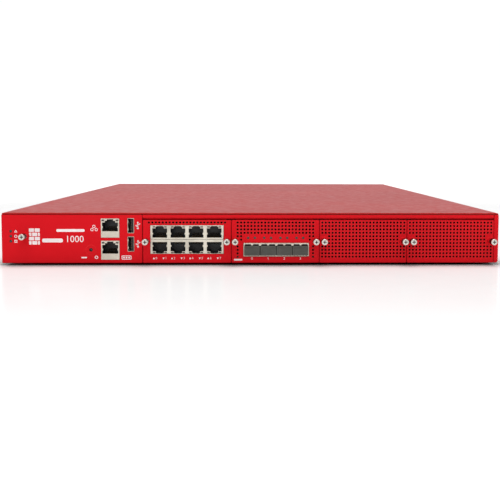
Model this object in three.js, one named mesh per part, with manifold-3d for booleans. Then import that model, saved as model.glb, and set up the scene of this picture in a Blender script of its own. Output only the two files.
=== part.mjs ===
// A one-unit rack firewall appliance: folded steel chassis and lift-off cover, a control panel
// with two network jacks and two USB ports, four network module bays (an eight-port copper
// module, a four-port fibre module and two blank panels), two hot-swap power supplies and a
// bank of four fans at the rear.
//
// Units are millimetres. Everything but the outermost group is drawn in the chassis's own
// coordinates: x runs across the front, y is the depth behind the front face, and z is the
// height above the chassis's underside.

import * as THREE from "three";
import { mergeVertices } from "three/addons/utils/BufferGeometryUtils.js";
import Module from "manifold-3d";

const wasm = await Module();
wasm.setup();

// ---------------------------------------------------------------- driving dimensions

const WIDTH = 438; // chassis width, between 19-inch rack posts
const DEPTH = 580; // front face to rear panel
const HEIGHT = 44; // one rack unit, less its clearance
const SHEET = 1.2; // folded steel
const PLATE = 1.5; // front and rear plates
const BOARD = 1.6; // circuit boards
const GAP = 0.3; // between pieces that meet
const FOOT_H = 2;
const FOOT_R = 7;

const KNOB_OUT = 13; // thumbscrews stand this far out of the front face
const HANDLE_OUT = 22; // power supply handles stand this far out of the rear

const HALF_W = WIDTH / 2;
const COVER_UNDER = HEIGHT - SHEET; // underside of the cover's top sheet
const FRAME_TOP = COVER_UNDER - 0.5; // top of what the cover closes on
const LEDGE_Z = 29.5; // where the side walls step in to take the cover's flanges
const WALL_STEP = SHEET + GAP;

const SLOT_PITCH = 77.8; // network module width with its clearance
const BAY_LEFT = -96.3; // left edge of the first module bay
const BAY_RIGHT = BAY_LEFT + 4 * SLOT_PITCH;
const FACE_W = SLOT_PITCH - 0.4; // module faceplate width
const FACE_LOW = 0.3;
const FACE_HIGH = 37.6;
const MODULE_SCREW_X = 35.3; // thumbscrews either side of a faceplate's middle
const MODULE_SCREW_Z = 19.5;
const MODULE_BOARD_W = 72;
const MODULE_BOARD_END = 172;
const CONNECTOR_END = 183.2;
const RISER_Y = 183.5;

const MAIN_BOARD_Z = 5.5;
const PARTS_Z = MAIN_BOARD_Z + BOARD + GAP; // lowest point of a piece that stands on the main board

const JACK_CAVITY = { halfWidth: 6, height: 8.1, notchHalf: 3.5, notchHeight: 1.9, depth: 14 };
const JACK_W = 16.1; // single network jack, shield and all
const JACK_H = 16.8;
const JACK_X = -124.6;
const JACK_Z = { upper: 30.5, lower: 10.95 };
const USB = { x: -106.6, width: 5.7, height: 13.1, wall: 0.3, depth: 12, upperZ: 32.6, lowerZ: 16.4 };
const LIGHT_X = -211;
const LIGHT_Z = [27.7, 23.3, 18.9];
const RESET = { x: -141.5, z: 11.3, hole: 1.7, rod: 1.3 };
const PANEL_SCREW = { x: -198, z: 23.9 };
const CONTROL_BOARD_Y = 18;

const BLOCK = { halfWidth: 32.05, low: 7.8, high: 32.9, pitch: 15.9, columns: 4 };
const CAGE = { offset: 0.7, pitch: 14.25, bay: 13.4, bays: 4, low: 5.4, high: 17.3 };
CAGE.bayLow = 6.4;
CAGE.bayHigh = 15.8;
CAGE.halfWidth = 1.5 * CAGE.pitch + CAGE.bay / 2 + 0.8;

const PSU = { width: 75.5, low: 2, high: 41.5, front: 395, x: [-177.2, -100.6] };
const PSU_FAN = { x: 13.5, z: 21.75, bore: 18.2, depth: 32 };
const PSU_INLET = { x: -22.9, z: 21.75, halfWidth: 12.3, halfHeight: 8.3, depth: 16 };
const PSU_LATCH = { pocketLeft: 32.6, pocketRight: 37.4, left: 34.9, thickness: 2, half: 7, out: 12 };

const FAN = { x: [-36, 10, 56, 102], z: 21.6, half: 20, bore: 18.9, front: 549, back: 577 };
const SWITCH = { x: 152, z: 22, pivotY: 575.5, halfWidth: 6, halfHeight: 8.4 };

const ROUND = 12; // sides of small round pieces
const BORE_ROUND = 24; // sides of fan bores

// ---------------------------------------------------------------- materials

const colour = (hex, roughness, metalness) => new THREE.MeshStandardMaterial({ color: hex, roughness, metalness });
const redPaint = colour(0xd01020, 0.42, 0.0);
const zincSteel = colour(0xb9bcc0, 0.38, 0.9);
const shieldSteel = colour(0xd5cfc4, 0.3, 0.9);
const nickel = colour(0xe6e6e2, 0.25, 1.0);
const blackPlastic = colour(0x1b1b1d, 0.5, 0.0);
const greyRubber = colour(0x56564f, 0.8, 0.0);
const greenBoard = colour(0x1d4a2f, 0.5, 0.0);
const aluminium = colour(0xc2c5c9, 0.35, 1.0);
const clearPlastic = colour(0x6b6658, 0.2, 0.0);
const releaseGreen = colour(0x2f8f5b, 0.5, 0.0);
const ribbonGrey = colour(0x9a9a9a, 0.6, 0.0);

// ---------------------------------------------------------------- shape helpers

// A box between two opposite corners.
function box(x0, x1, y0, y1, z0, z1) {
  const g = new THREE.BoxGeometry(x1 - x0, y1 - y0, z1 - z0);
  return g.translate((x0 + x1) / 2, (y0 + y1) / 2, (z0 + z1) / 2);
}

function polygon(points) {
  return new THREE.Shape(points.map(([a, b]) => new THREE.Vector2(a, b)));
}

function rectangle(x, z, halfX, halfZ) {
  return [
    [x - halfX, z - halfZ],
    [x + halfX, z - halfZ],
    [x + halfX, z + halfZ],
    [x - halfX, z + halfZ],
  ];
}

function circle(x, z, radius, sides = ROUND) {
  return Array.from({ length: sides }, (_, i) => {
    const a = (2 * Math.PI * (i + 0.5)) / sides;
    return [x + radius * Math.cos(a), z + radius * Math.sin(a)];
  });
}

// Outline in (x, z) extruded along +y from y0 to y1, with any holes cut through it.
function alongY(outline, y0, y1, holes = []) {
  const g = new THREE.ExtrudeGeometry(polygon(outline), { depth: y1 - y0, bevelEnabled: false });
  g.rotateX(Math.PI / 2).translate(0, y1, 0);
  if (holes.length === 0) return g;
  return build([g], holes.map((hole) => alongY(hole, y0 - 1, y1 + 1)));
}

// Outline in (y, z) extruded along +x from x0 to x1.
function alongX(outline, x0, x1) {
  const g = new THREE.ExtrudeGeometry(polygon(outline), { depth: x1 - x0, bevelEnabled: false });
  const turn = new THREE.Matrix4().makeBasis(
    new THREE.Vector3(0, 1, 0),
    new THREE.Vector3(0, 0, 1),
    new THREE.Vector3(1, 0, 0),
  );
  return g.applyMatrix4(turn).translate(x0, 0, 0);
}

// Outline in (x, y) extruded along +z from z0 to z1.
function alongZ(outline, z0, z1) {
  const g = new THREE.ExtrudeGeometry(polygon(outline), { depth: z1 - z0, bevelEnabled: false });
  return g.translate(0, 0, z0);
}

// A profile of [radius, y] turned about a line along y through (x, z).
function turned(profile, x, z, sides = ROUND) {
  const points = profile.map(([r, y]) => new THREE.Vector2(r, y));
  return new THREE.LatheGeometry(points, sides).translate(x, 0, z);
}

function toSolid(geometry) {
  const bare = geometry.index ? geometry.toNonIndexed() : geometry.clone();
  bare.deleteAttribute("normal");
  bare.deleteAttribute("uv");
  const merged = mergeVertices(bare, 1e-4);
  return new wasm.Manifold(
    new wasm.Mesh({
      numProp: 3,
      vertProperties: new Float32Array(merged.attributes.position.array),
      triVerts: new Uint32Array(merged.index.array),
    }),
  );
}

function toGeometry(solid) {
  const mesh = solid.getMesh();
  const g = new THREE.BufferGeometry();
  g.setAttribute("position", new THREE.BufferAttribute(new Float32Array(mesh.vertProperties), 3));
  g.setIndex(new THREE.BufferAttribute(new Uint32Array(mesh.triVerts), 1));
  g.computeVertexNormals();
  return g;
}

// Joins the first list of geometries, then takes the second list away.
function build(parts, cuts = []) {
  const joined = parts.map(toSolid).reduce((a, b) => a.add(b));
  return toGeometry(cuts.map(toSolid).reduce((a, b) => a.subtract(b), joined));
}

function piece(group, name, geometry, material) {
  const mesh = new THREE.Mesh(geometry, material);
  mesh.name = name;
  group.add(mesh);
  return mesh;
}

const slotCentre = (i) => BAY_LEFT + (i + 0.5) * SLOT_PITCH;

// ---------------------------------------------------------------- chassis

// The tray's right half in (x, z): floor, side wall, and the step that takes the cover's flange.
function trayGeometry() {
  const stepped = HALF_W - WALL_STEP;
  const right = [
    [HALF_W, 0],
    [HALF_W, LEDGE_Z],
    [stepped, LEDGE_Z],
    [stepped, FRAME_TOP],
    [stepped - SHEET, FRAME_TOP],
    [stepped - SHEET, LEDGE_Z - SHEET],
    [HALF_W - SHEET, LEDGE_Z - SHEET],
    [HALF_W - SHEET, SHEET],
  ];
  const left = right.map(([x, z]) => [-x, z]).reverse();
  return alongY([...right, ...left], PLATE + GAP, DEPTH);
}

// The cover's top sheet runs to the front face; its side flanges stop behind the front plates.
function coverGeometry() {
  const bend = 2;
  const right = [
    [HALF_W, LEDGE_Z + 0.5],
    [HALF_W, HEIGHT - bend],
    [HALF_W - bend * 0.3, HEIGHT - bend * 0.3],
    [HALF_W - bend, HEIGHT],
  ];
  const inside = [
    [HALF_W - SHEET, COVER_UNDER],
    [HALF_W - SHEET, LEDGE_Z + 0.5],
  ];
  const mirror = (list) => list.map(([x, z]) => [-x, z]).reverse();
  const outline = [...right, ...mirror(right), ...mirror(inside), ...inside];
  const clear = (side) => {
    const [a, b] = side > 0 ? [HALF_W - 2, HALF_W + 1] : [-HALF_W - 1, -HALF_W + 2];
    return box(a, b, -1, PLATE + GAP, LEDGE_Z, COVER_UNDER - 0.2);
  };
  return build([alongY(outline, 0, DEPTH)], [clear(1), clear(-1)]);
}

function controlPanelGeometry() {
  const clear = 0.3;
  const right = BAY_LEFT - GAP;
  const outline = [
    [-HALF_W, 0],
    [right, 0],
    [right, FRAME_TOP],
    [-HALF_W, FRAME_TOP],
  ];
  const holes = [
    ...Object.values(JACK_Z).map((z) => rectangle(JACK_X, z, JACK_W / 2 + clear, JACK_H / 2 + clear)),
    ...[USB.upperZ, USB.lowerZ].map((z) => rectangle(USB.x, z, USB.width / 2 + clear, USB.height / 2 + clear)),
    ...LIGHT_Z.map((z) => circle(LIGHT_X, z, 1.3)),
    circle(RESET.x, RESET.z, RESET.hole),
    circle(PANEL_SCREW.x, PANEL_SCREW.z, 2),
  ];
  const flangeEdge = HALF_W - WALL_STEP - SHEET - GAP;
  const flange = box(-flangeEdge, right, PLATE - 0.2, 10, FRAME_TOP - SHEET, FRAME_TOP);
  return build([alongY(outline, 0, PLATE, holes), flange]);
}

// Front lip, top flange and a recessed web that the module faceplates close up to.
function lintelGeometry() {
  const lipLow = 39.5;
  const outline = [
    [0, lipLow],
    [0, FRAME_TOP],
    [12, FRAME_TOP],
    [12, FRAME_TOP - SHEET],
    [4, FRAME_TOP - SHEET],
    [4, FACE_HIGH + 0.4],
    [2.8, FACE_HIGH + 0.4],
    [2.8, lipLow],
  ];
  return alongX(outline.reverse(), BAY_LEFT, BAY_RIGHT - GAP);
}

function endPostGeometry() {
  const inner = BAY_RIGHT + 0.1;
  const fold = 1;
  const outline = [
    [inner, 0],
    [HALF_W, 0],
    [HALF_W, PLATE],
    [inner + fold, PLATE],
    [inner + fold, 12],
    [inner, 12],
  ];
  return build([alongZ(outline, 0, FRAME_TOP)], [box(inner - 1, inner + 2, PLATE, 13, -1, SHEET + GAP)]);
}

// Walls between the bays on a cross strap, with tabs that the module thumbscrews run into.
function guideFrameGeometry() {
  const front = 4.5;
  const back = 160;
  const wall = 1;
  const tabReach = 5.9;
  const inset = 0.7;
  const low = SHEET + GAP;
  const parts = [box(BAY_LEFT + inset, BAY_RIGHT - inset, 120, back - 1, low + 0.4, low + 0.4 + wall)];
  const cuts = [];
  for (let i = 0; i <= 4; i += 1) {
    const edge = BAY_LEFT + i * SLOT_PITCH;
    const x = edge + (i === 0 ? inset : i === 4 ? -inset : 0);
    parts.push(box(x - wall / 2, x + wall / 2, front, back, low, 40));
    const left = i === 0 ? x : edge - tabReach;
    const right = i === 4 ? x : edge + tabReach;
    parts.push(box(left, right, front + 0.2, front + PLATE, MODULE_SCREW_Z - 6, MODULE_SCREW_Z + 6));
    const screwInset = SLOT_PITCH / 2 - MODULE_SCREW_X;
    if (i > 0) cuts.push(alongY(circle(edge - screwInset, MODULE_SCREW_Z, 1.9, 8), front - 1, front + 3));
    if (i < 4) cuts.push(alongY(circle(edge + screwInset, MODULE_SCREW_Z, 1.9, 8), front - 1, front + 3));
  }
  return build(parts, cuts);
}

// The rear plate, folded forward on the left to wall off the power supply bay.
function rearPanelGeometry() {
  const left = -61.5;
  const right = HALF_W - WALL_STEP - SHEET - GAP;
  const low = SHEET + GAP;
  const outline = [
    [left, low],
    [right, low],
    [right, FRAME_TOP],
    [left, FRAME_TOP],
  ];
  const holes = FAN.x.map((x) => circle(x, FAN.z, FAN.bore - 0.3, BORE_ROUND));
  holes.push(rectangle(SWITCH.x, SWITCH.z, SWITCH.halfWidth + 0.5, SWITCH.halfHeight + 1.5));
  const wall = box(left, left + SHEET, PSU.front, DEPTH - 1, low, FRAME_TOP);
  return build([alongY(outline, DEPTH - PLATE, DEPTH, holes), wall]);
}

// ---------------------------------------------------------------- ports

// The mouth of a modular jack in (x, z): a rectangle with the plug's latch notch above or below.
function jackMouth(x, low, notchUp) {
  const { halfWidth, height, notchHalf, notchHeight } = JACK_CAVITY;
  const base = notchUp ? low : low + height;
  const s = notchUp ? 1 : -1;
  const points = [
    [x - halfWidth, base],
    [x + halfWidth, base],
    [x + halfWidth, base + s * height],
    [x + notchHalf, base + s * height],
    [x + notchHalf, base + s * (height + notchHeight)],
    [x - notchHalf, base + s * (height + notchHeight)],
    [x - notchHalf, base + s * height],
    [x - halfWidth, base + s * height],
  ];
  return notchUp ? points : points.reverse();
}

// A single jack, centred at (JACK_X, z). Its mouth's floor is 2.9 below the middle.
function singleJackGeometry(z) {
  const shell = rectangle(JACK_X, z, JACK_W / 2, JACK_H / 2);
  const mouth = jackMouth(JACK_X, z - 2.9, true);
  const front = -0.4;
  const mouthPart = alongY(shell, front, front + JACK_CAVITY.depth, [mouth]);
  const backPart = alongY(shell, front + JACK_CAVITY.depth - 0.5, CONTROL_BOARD_Y - GAP);
  return build([mouthPart, backPart]);
}

// A USB type A receptacle on its side, with its contact tongue.
function usbGeometry(z) {
  const front = -0.2;
  const halfW = USB.width / 2;
  const halfH = USB.height / 2;
  const shell = rectangle(USB.x, z, halfW, halfH);
  const inside = rectangle(USB.x, z, halfW - USB.wall, halfH - USB.wall);
  const back = CONTROL_BOARD_Y - GAP;
  return build([
    alongY(shell, front, front + USB.depth, [inside]),
    alongY(shell, front + USB.depth - 0.3, back),
    box(USB.x + 0.1, USB.x + 2, 1, USB.depth, z - 5.5, z + 5.5),
  ]);
}

// Three light pipes joined by a bar behind the panel.
function lightPipeGeometry() {
  const pipes = LIGHT_Z.map((z) => alongY(circle(LIGHT_X, z, 1), 0.1, 12));
  const bar = box(LIGHT_X - 1.5, LIGHT_X + 1.5, 10, CONTROL_BOARD_Y - GAP, LIGHT_Z[2] - 1.6, LIGHT_Z[0] + 1.6);
  return build([...pipes, bar]);
}

function resetButtonGeometry() {
  const profile = [
    [0, 0.7],
    [RESET.rod, 0.7],
    [RESET.rod, PLATE + 0.5],
    [2.4, PLATE + 0.5],
    [2.4, PLATE + 1.5],
    [RESET.rod, PLATE + 1.5],
    [RESET.rod, CONTROL_BOARD_Y - 1.4],
    [0, CONTROL_BOARD_Y - 1.4],
  ];
  return turned(profile, RESET.x, RESET.z);
}

// A captive thumbscrew: knurled knob in front of the plate and a shank through it.
function thumbscrewGeometry(x, z) {
  const profile = [
    [0, -KNOB_OUT],
    [2.5, -KNOB_OUT],
    [2.9, -KNOB_OUT + 0.5],
    [2.9, -0.4],
    [1.5, -0.4],
    [1.5, 8],
    [0, 8],
  ];
  return turned(profile, x, z);
}

// ---------------------------------------------------------------- network modules

// A module's front plate with its top return flange and a shelf that the board is screwed to.
function faceplateGeometry(x, opening, shelfZ) {
  const middle = (FACE_LOW + FACE_HIGH) / 2;
  const outline = rectangle(x, middle, FACE_W / 2, (FACE_HIGH - FACE_LOW) / 2);
  const holes = [-1, 1].map((s) => circle(x + s * MODULE_SCREW_X, MODULE_SCREW_Z, 1.9));
  if (opening) holes.push(opening);
  const back = PLATE - 0.2;
  const parts = [
    alongY(outline, 0, PLATE, holes),
    box(x - 34, x + 34, back, 12, FACE_HIGH - SHEET, FACE_HIGH),
    box(x - 34, x + 34, back, 14, shelfZ, shelfZ + SHEET),
  ];
  return build(parts);
}

// A module's circuit board with its edge connector and the chips that stand on it.
function moduleBoardGeometry(x, z, chips) {
  const top = z + BOARD;
  const half = MODULE_BOARD_W / 2;
  const parts = [
    box(x - half, x + half, 3, MODULE_BOARD_END, z, top),
    box(x - 22, x + 22, 165, MODULE_BOARD_END, top - 0.1, 14),
    box(x - 22, x + 22, MODULE_BOARD_END - 0.1, CONNECTOR_END, 8.5, 14),
  ];
  chips.forEach(([cx, cy, side, height]) => {
    parts.push(box(x + cx - side / 2, x + cx + side / 2, cy - side / 2, cy + side / 2, top - 0.1, top + height));
  });
  return build(parts);
}

// Two rows of four jacks in one shield, the upper row's latches up and the lower row's down.
function jackBlockGeometry(x) {
  const shell = [
    [x - BLOCK.halfWidth, BLOCK.low],
    [x + BLOCK.halfWidth, BLOCK.low],
    [x + BLOCK.halfWidth, BLOCK.high],
    [x - BLOCK.halfWidth, BLOCK.high],
  ];
  const mouths = [];
  for (let i = 0; i < BLOCK.columns; i += 1) {
    const cx = x + (i - (BLOCK.columns - 1) / 2) * BLOCK.pitch;
    mouths.push(jackMouth(cx, 22.2, true), jackMouth(cx, 10.1, false));
  }
  const front = -0.4;
  return build([
    alongY(shell, front, front + JACK_CAVITY.depth, mouths),
    alongY(shell, front + JACK_CAVITY.depth - 0.5, 26),
  ]);
}

const cageBayCentre = (i) => slotCentre(1) + CAGE.offset + (i - 1.5) * CAGE.pitch;

function cageGeometry() {
  const x = slotCentre(1) + CAGE.offset;
  const shell = rectangle(x, (CAGE.low + CAGE.high) / 2, CAGE.halfWidth, (CAGE.high - CAGE.low) / 2);
  const bayMiddle = (CAGE.bayLow + CAGE.bayHigh) / 2;
  const bayHalf = (CAGE.bayHigh - CAGE.bayLow) / 2;
  const bays = [0, 1, 2, 3].map((i) => rectangle(cageBayCentre(i), bayMiddle, CAGE.bay / 2, bayHalf));
  return build([alongY(shell, -0.6, 47, bays), alongY(shell, 46.5, 48)]);
}

// ---------------------------------------------------------------- boards and what stands on them

// L-shaped: full width ahead of the power supplies, then on beside them to the fans.
function motherboardGeometry() {
  const edge = HALF_W - 7;
  const outline = [
    [-edge, 182],
    [edge, 182],
    [edge, 505],
    [-56, 505],
    [-56, 384],
    [-edge, 384],
  ];
  return alongZ(outline, MAIN_BOARD_Z, MAIN_BOARD_Z + BOARD);
}

// A comb of fins over a base, with the processor under it.
function heatsinkGeometry(x) {
  const fins = 15;
  const half = 45;
  const finWidth = 1.6;
  const pitch = (2 * half - finWidth) / (fins - 1);
  const baseLow = 11;
  const baseHigh = 15;
  const top = 38;
  const outline = [
    [x - half, baseLow],
    [x + half, baseLow],
  ];
  for (let i = fins - 1; i >= 0; i -= 1) {
    const left = x - half + i * pitch;
    outline.push([left + finWidth, top], [left, top]);
    if (i > 0) outline.push([left, baseHigh], [left - pitch + finWidth, baseHigh]);
  }
  const middle = 280;
  return build([
    alongY(outline, middle - 47, middle + 47),
    box(x - 26, x + 26, middle - 22, middle + 22, PARTS_Z, baseLow + 0.1),
  ]);
}

function memoryGeometry(x) {
  const middle = 280;
  return build([
    box(x - 3.5, x + 3.5, middle - 70, middle + 70, PARTS_Z, 13),
    box(x - 1.9, x + 1.9, middle - 66.7, middle + 66.7, 12.9, 38),
  ]);
}

// A flat ribbon from the control board back to the main board, rising over its plug at each end.
function ribbonGeometry() {
  const thickness = 1;
  const path = new THREE.CubicBezierCurve(
    new THREE.Vector2(CONTROL_BOARD_Y + BOARD + GAP, 14),
    new THREE.Vector2(90, 14),
    new THREE.Vector2(110, 9),
    new THREE.Vector2(196, 9),
  );
  const low = path.getPoints(8).map((p) => [p.x, p.y]);
  const high = low.map(([y, z]) => [y, z + thickness]).reverse();
  return alongX([...low, ...high], -128, -108);
}

function powerBoardGeometry() {
  const back = 389.6;
  const parts = [box(-214, -64, back - BOARD, back, 7.5, 38)];
  PSU.x.forEach((x) => parts.push(box(x - 28, x + 28, back - 0.1, PSU.front - 0.6, 13, 25)));
  return build(parts);
}

// ---------------------------------------------------------------- power supplies and fans

// The steel case with its inner board as a thick floor, fan bore, inlet with pins and pull handle.
function psuGeometry(cx) {
  const half = PSU.width / 2;
  const { low, high, front } = PSU;
  const fanFront = DEPTH - PSU_FAN.depth;
  const fanX = cx + PSU_FAN.x;
  const inletX = cx + PSU_INLET.x;
  const inletZ = PSU_INLET.z;
  const outer = box(cx - half, cx + half, front, DEPTH, low, high);
  const hollow = box(cx - half + 1.2, cx + half - 1.2, front - 1, fanFront, 9, high - 1);
  const bore = alongY(circle(fanX, PSU_FAN.z, PSU_FAN.bore, BORE_ROUND), fanFront - 1, DEPTH + 1);
  const inlet = alongY(
    rectangle(inletX, inletZ, PSU_INLET.halfWidth, PSU_INLET.halfHeight),
    DEPTH - PSU_INLET.depth,
    DEPTH + 1,
  );
  const pocket = box(
    cx + PSU_LATCH.pocketLeft,
    cx + PSU_LATCH.pocketRight,
    DEPTH - 20,
    DEPTH + 1,
    PSU_FAN.z - PSU_LATCH.half - 0.6,
    PSU_FAN.z + PSU_LATCH.half + 0.6,
  );
  const strutY = [DEPTH - 8, DEPTH - 5];
  const motorPlate = alongY(circle(fanX, PSU_FAN.z, 9, ROUND), ...strutY);
  const struts = [
    box(fanX - PSU_FAN.bore - 0.5, fanX + PSU_FAN.bore + 0.5, ...strutY, PSU_FAN.z - 1, PSU_FAN.z + 1),
    box(fanX - 1, fanX + 1, ...strutY, PSU_FAN.z - PSU_FAN.bore - 0.5, PSU_FAN.z + PSU_FAN.bore + 0.5),
  ];
  const pinBack = DEPTH - PSU_INLET.depth - 0.5;
  const pin = (x, z) => box(x - 1, x + 1, pinBack, DEPTH - 2, z - 2, z + 2);
  const pins = [pin(inletX - 7, inletZ - 2), pin(inletX + 7, inletZ - 2), pin(inletX, inletZ + 3)];
  const reach = DEPTH + HANDLE_OUT;
  const handle = alongX(
    [
      [DEPTH - 1, 6],
      [reach - 6, 6],
      [reach, 11],
      [reach, 32.5],
      [reach - 6, 37.5],
      [DEPTH - 1, 37.5],
      [DEPTH - 1, 33.5],
      [reach - 7, 33.5],
      [reach - 4, 31],
      [reach - 4, 12.5],
      [reach - 7, 10],
      [DEPTH - 1, 10],
    ],
    cx - 9.6,
    cx - 5.4,
  );
  const shell = build([outer], [hollow, bore, inlet, pocket]);
  return build([shell, motorPlate, ...struts, ...pins, handle]);
}

function latchGeometry(cx) {
  const left = cx + PSU_LATCH.left;
  const { half, thickness, out } = PSU_LATCH;
  return box(left, left + thickness, DEPTH - 19, DEPTH + out, PSU_FAN.z - half, PSU_FAN.z + half);
}

// A fan rotor: hub cup and seven slanted blades, turning about y through (x, z).
function rotorGeometry(x, z, y0, y1, hub, tip) {
  const blades = 7;
  const parts = [alongY(circle(0, 0, hub, ROUND), y0, y1)];
  for (let i = 0; i < blades; i += 1) {
    const blade = new THREE.BoxGeometry(1.2, (y1 - y0) * 0.95, tip - hub + 1.5);
    blade.rotateZ(0.62).translate(0, (y0 + y1) / 2, (tip + hub - 1.5) / 2);
    parts.push(blade.rotateY((2 * Math.PI * i) / blades));
  }
  const trim = alongY(circle(0, 0, tip, BORE_ROUND), y0, y1);
  const joined = parts.map(toSolid).reduce((a, b) => a.add(b));
  return toGeometry(joined.intersect(toSolid(trim))).translate(x, 0, z);
}

// Four fan frames in one carrier, each with a motor plate on four struts at its rear.
function fanTrayGeometry() {
  const left = FAN.x[0] - FAN.half - 1;
  const right = FAN.x[3] + FAN.half + 1;
  const low = FAN.z - FAN.half;
  const high = FAN.z + FAN.half;
  const outline = [
    [left, low],
    [right, low],
    [right, high],
    [left, high],
  ];
  const bores = FAN.x.map((x) => circle(x, FAN.z, FAN.bore, BORE_ROUND));
  const parts = [alongY(outline, FAN.front, FAN.back, bores)];
  const strutY = [FAN.back - 4, FAN.back - 1];
  const reach = FAN.bore + 0.5;
  FAN.x.forEach((x) => {
    parts.push(
      alongY(circle(x, FAN.z, 11, ROUND), ...strutY),
      box(x - reach, x + reach, ...strutY, FAN.z - 1.2, FAN.z + 1.2),
      box(x - 1.2, x + 1.2, ...strutY, FAN.z - reach, FAN.z + reach),
    );
  });
  return build(parts);
}

// The rocker, drawn tipped to its off position about its pivot.
function rockerGeometry() {
  const tilt = THREE.MathUtils.degToRad(12);
  const { halfHeight, halfWidth, pivotY, x, z } = SWITCH;
  const neutral = [
    [-6, -halfHeight],
    [5.5, -halfHeight],
    [3.8, 0],
    [5.5, halfHeight],
    [-6, halfHeight],
  ];
  const tipped = neutral.map(([y, up]) => [
    pivotY + y * Math.cos(tilt) - up * Math.sin(tilt),
    z + y * Math.sin(tilt) + up * Math.cos(tilt),
  ]);
  return alongX(tipped, x - halfWidth, x + halfWidth);
}

// ---------------------------------------------------------------- assembly

const chassis = new THREE.Group();
chassis.position.set(0, KNOB_OUT - (KNOB_OUT + DEPTH + HANDLE_OUT) / 2, FOOT_H);

piece(chassis, "chassis_tray", trayGeometry(), redPaint);
piece(chassis, "top_cover", coverGeometry(), redPaint);
piece(chassis, "control_panel", controlPanelGeometry(), redPaint);
piece(chassis, "bay_lintel", lintelGeometry(), redPaint);
piece(chassis, "bay_end_post", endPostGeometry(), redPaint);
piece(chassis, "bay_guide_frame", guideFrameGeometry(), zincSteel);
piece(chassis, "rear_panel", rearPanelGeometry(), redPaint);

const footPlaces = [-190, 190].flatMap((x) => [30, 550].map((y) => [x, y]));
const footNames = ["foot_front_left", "foot_rear_left", "foot_front_right", "foot_rear_right"];
footPlaces.forEach(([x, y], i) => {
  const foot = new THREE.CylinderGeometry(FOOT_R, FOOT_R - 0.8, FOOT_H, 16).rotateX(Math.PI / 2);
  piece(chassis, footNames[i], foot.translate(x, y, -FOOT_H / 2), blackPlastic);
});

piece(chassis, "management_jack", singleJackGeometry(JACK_Z.upper), shieldSteel);
piece(chassis, "console_jack", singleJackGeometry(JACK_Z.lower), shieldSteel);
piece(chassis, "usb_port_upper", usbGeometry(USB.upperZ), shieldSteel);
piece(chassis, "usb_port_lower", usbGeometry(USB.lowerZ), shieldSteel);
piece(chassis, "status_light_pipe", lightPipeGeometry(), clearPlastic);
piece(chassis, "reset_button", resetButtonGeometry(), blackPlastic);
const controlBoard = box(-214, -98.5, CONTROL_BOARD_Y, CONTROL_BOARD_Y + BOARD, 3, 40.5);
piece(chassis, "control_board", controlBoard, greenBoard);
piece(chassis, "thumbscrew_panel", thumbscrewGeometry(PANEL_SCREW.x, PANEL_SCREW.z), nickel);

const slotNames = ["copper", "fibre", "blank_left", "blank_right"];
slotNames.forEach((name, i) => {
  [-1, 1].forEach((side) => {
    const screw = thumbscrewGeometry(slotCentre(i) + side * MODULE_SCREW_X, MODULE_SCREW_Z);
    piece(chassis, `thumbscrew_${name}_${side < 0 ? "l" : "r"}`, screw, nickel);
  });
});

const copperX = slotCentre(0);
const blockMiddle = (BLOCK.low + BLOCK.high) / 2;
const blockHalf = (BLOCK.high - BLOCK.low) / 2 + GAP;
const blockHole = rectangle(copperX, blockMiddle, BLOCK.halfWidth + GAP, blockHalf);
const copperBoardZ = BLOCK.low - GAP - BOARD;
piece(chassis, "copper_faceplate", faceplateGeometry(copperX, blockHole, copperBoardZ - GAP - SHEET), redPaint);
const copperChips = [
  [-15, 60, 30, 4],
  [18, 90, 22, 3],
];
piece(chassis, "copper_board", moduleBoardGeometry(copperX, copperBoardZ, copperChips), greenBoard);
piece(chassis, "copper_jack_block", jackBlockGeometry(copperX), shieldSteel);

const fibreX = slotCentre(1);
const cageMiddle = (CAGE.low + CAGE.high) / 2;
const cageHalf = (CAGE.high - CAGE.low) / 2 + GAP;
const cageHole = rectangle(fibreX + CAGE.offset, cageMiddle, CAGE.halfWidth + GAP, cageHalf);
const fibreBoardZ = CAGE.low - GAP - BOARD;
piece(chassis, "fibre_faceplate", faceplateGeometry(fibreX, cageHole, fibreBoardZ - GAP - SHEET), redPaint);
const fibreChips = [[0, 95, 34, 9]];
piece(chassis, "fibre_board", moduleBoardGeometry(fibreX, fibreBoardZ, fibreChips), greenBoard);
piece(chassis, "fibre_cage", cageGeometry(), shieldSteel);
for (let i = 0; i < CAGE.bays; i += 1) {
  const x = cageBayCentre(i);
  const clear = 0.35;
  const half = CAGE.bay / 2 - clear;
  const plug = box(x - half, x + half, -1.6, 14, CAGE.bayLow + clear, CAGE.bayHigh - clear);
  piece(chassis, `dust_plug_${i + 1}`, plug, greyRubber);
}

const blankShelfZ = 2;
piece(chassis, "blank_panel_left", faceplateGeometry(slotCentre(2), null, blankShelfZ), redPaint);
piece(chassis, "blank_panel_right", faceplateGeometry(slotCentre(3), null, blankShelfZ), redPaint);

piece(chassis, "riser_board", box(-92, 212, RISER_Y, RISER_Y + BOARD, PARTS_Z, 38), greenBoard);
piece(chassis, "motherboard", motherboardGeometry(), greenBoard);
piece(chassis, "cpu_heatsink_left", heatsinkGeometry(-70), aluminium);
piece(chassis, "cpu_heatsink_right", heatsinkGeometry(100), aluminium);
piece(chassis, "memory_module_left", memoryGeometry(5), greenBoard);
piece(chassis, "memory_module_right", memoryGeometry(22), greenBoard);
piece(chassis, "storage_drive", box(-208, -138, 60, 160, SHEET + GAP, SHEET + GAP + 7), aluminium);
piece(chassis, "control_ribbon", ribbonGeometry(), ribbonGrey);
piece(chassis, "power_board", powerBoardGeometry(), greenBoard);

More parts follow.
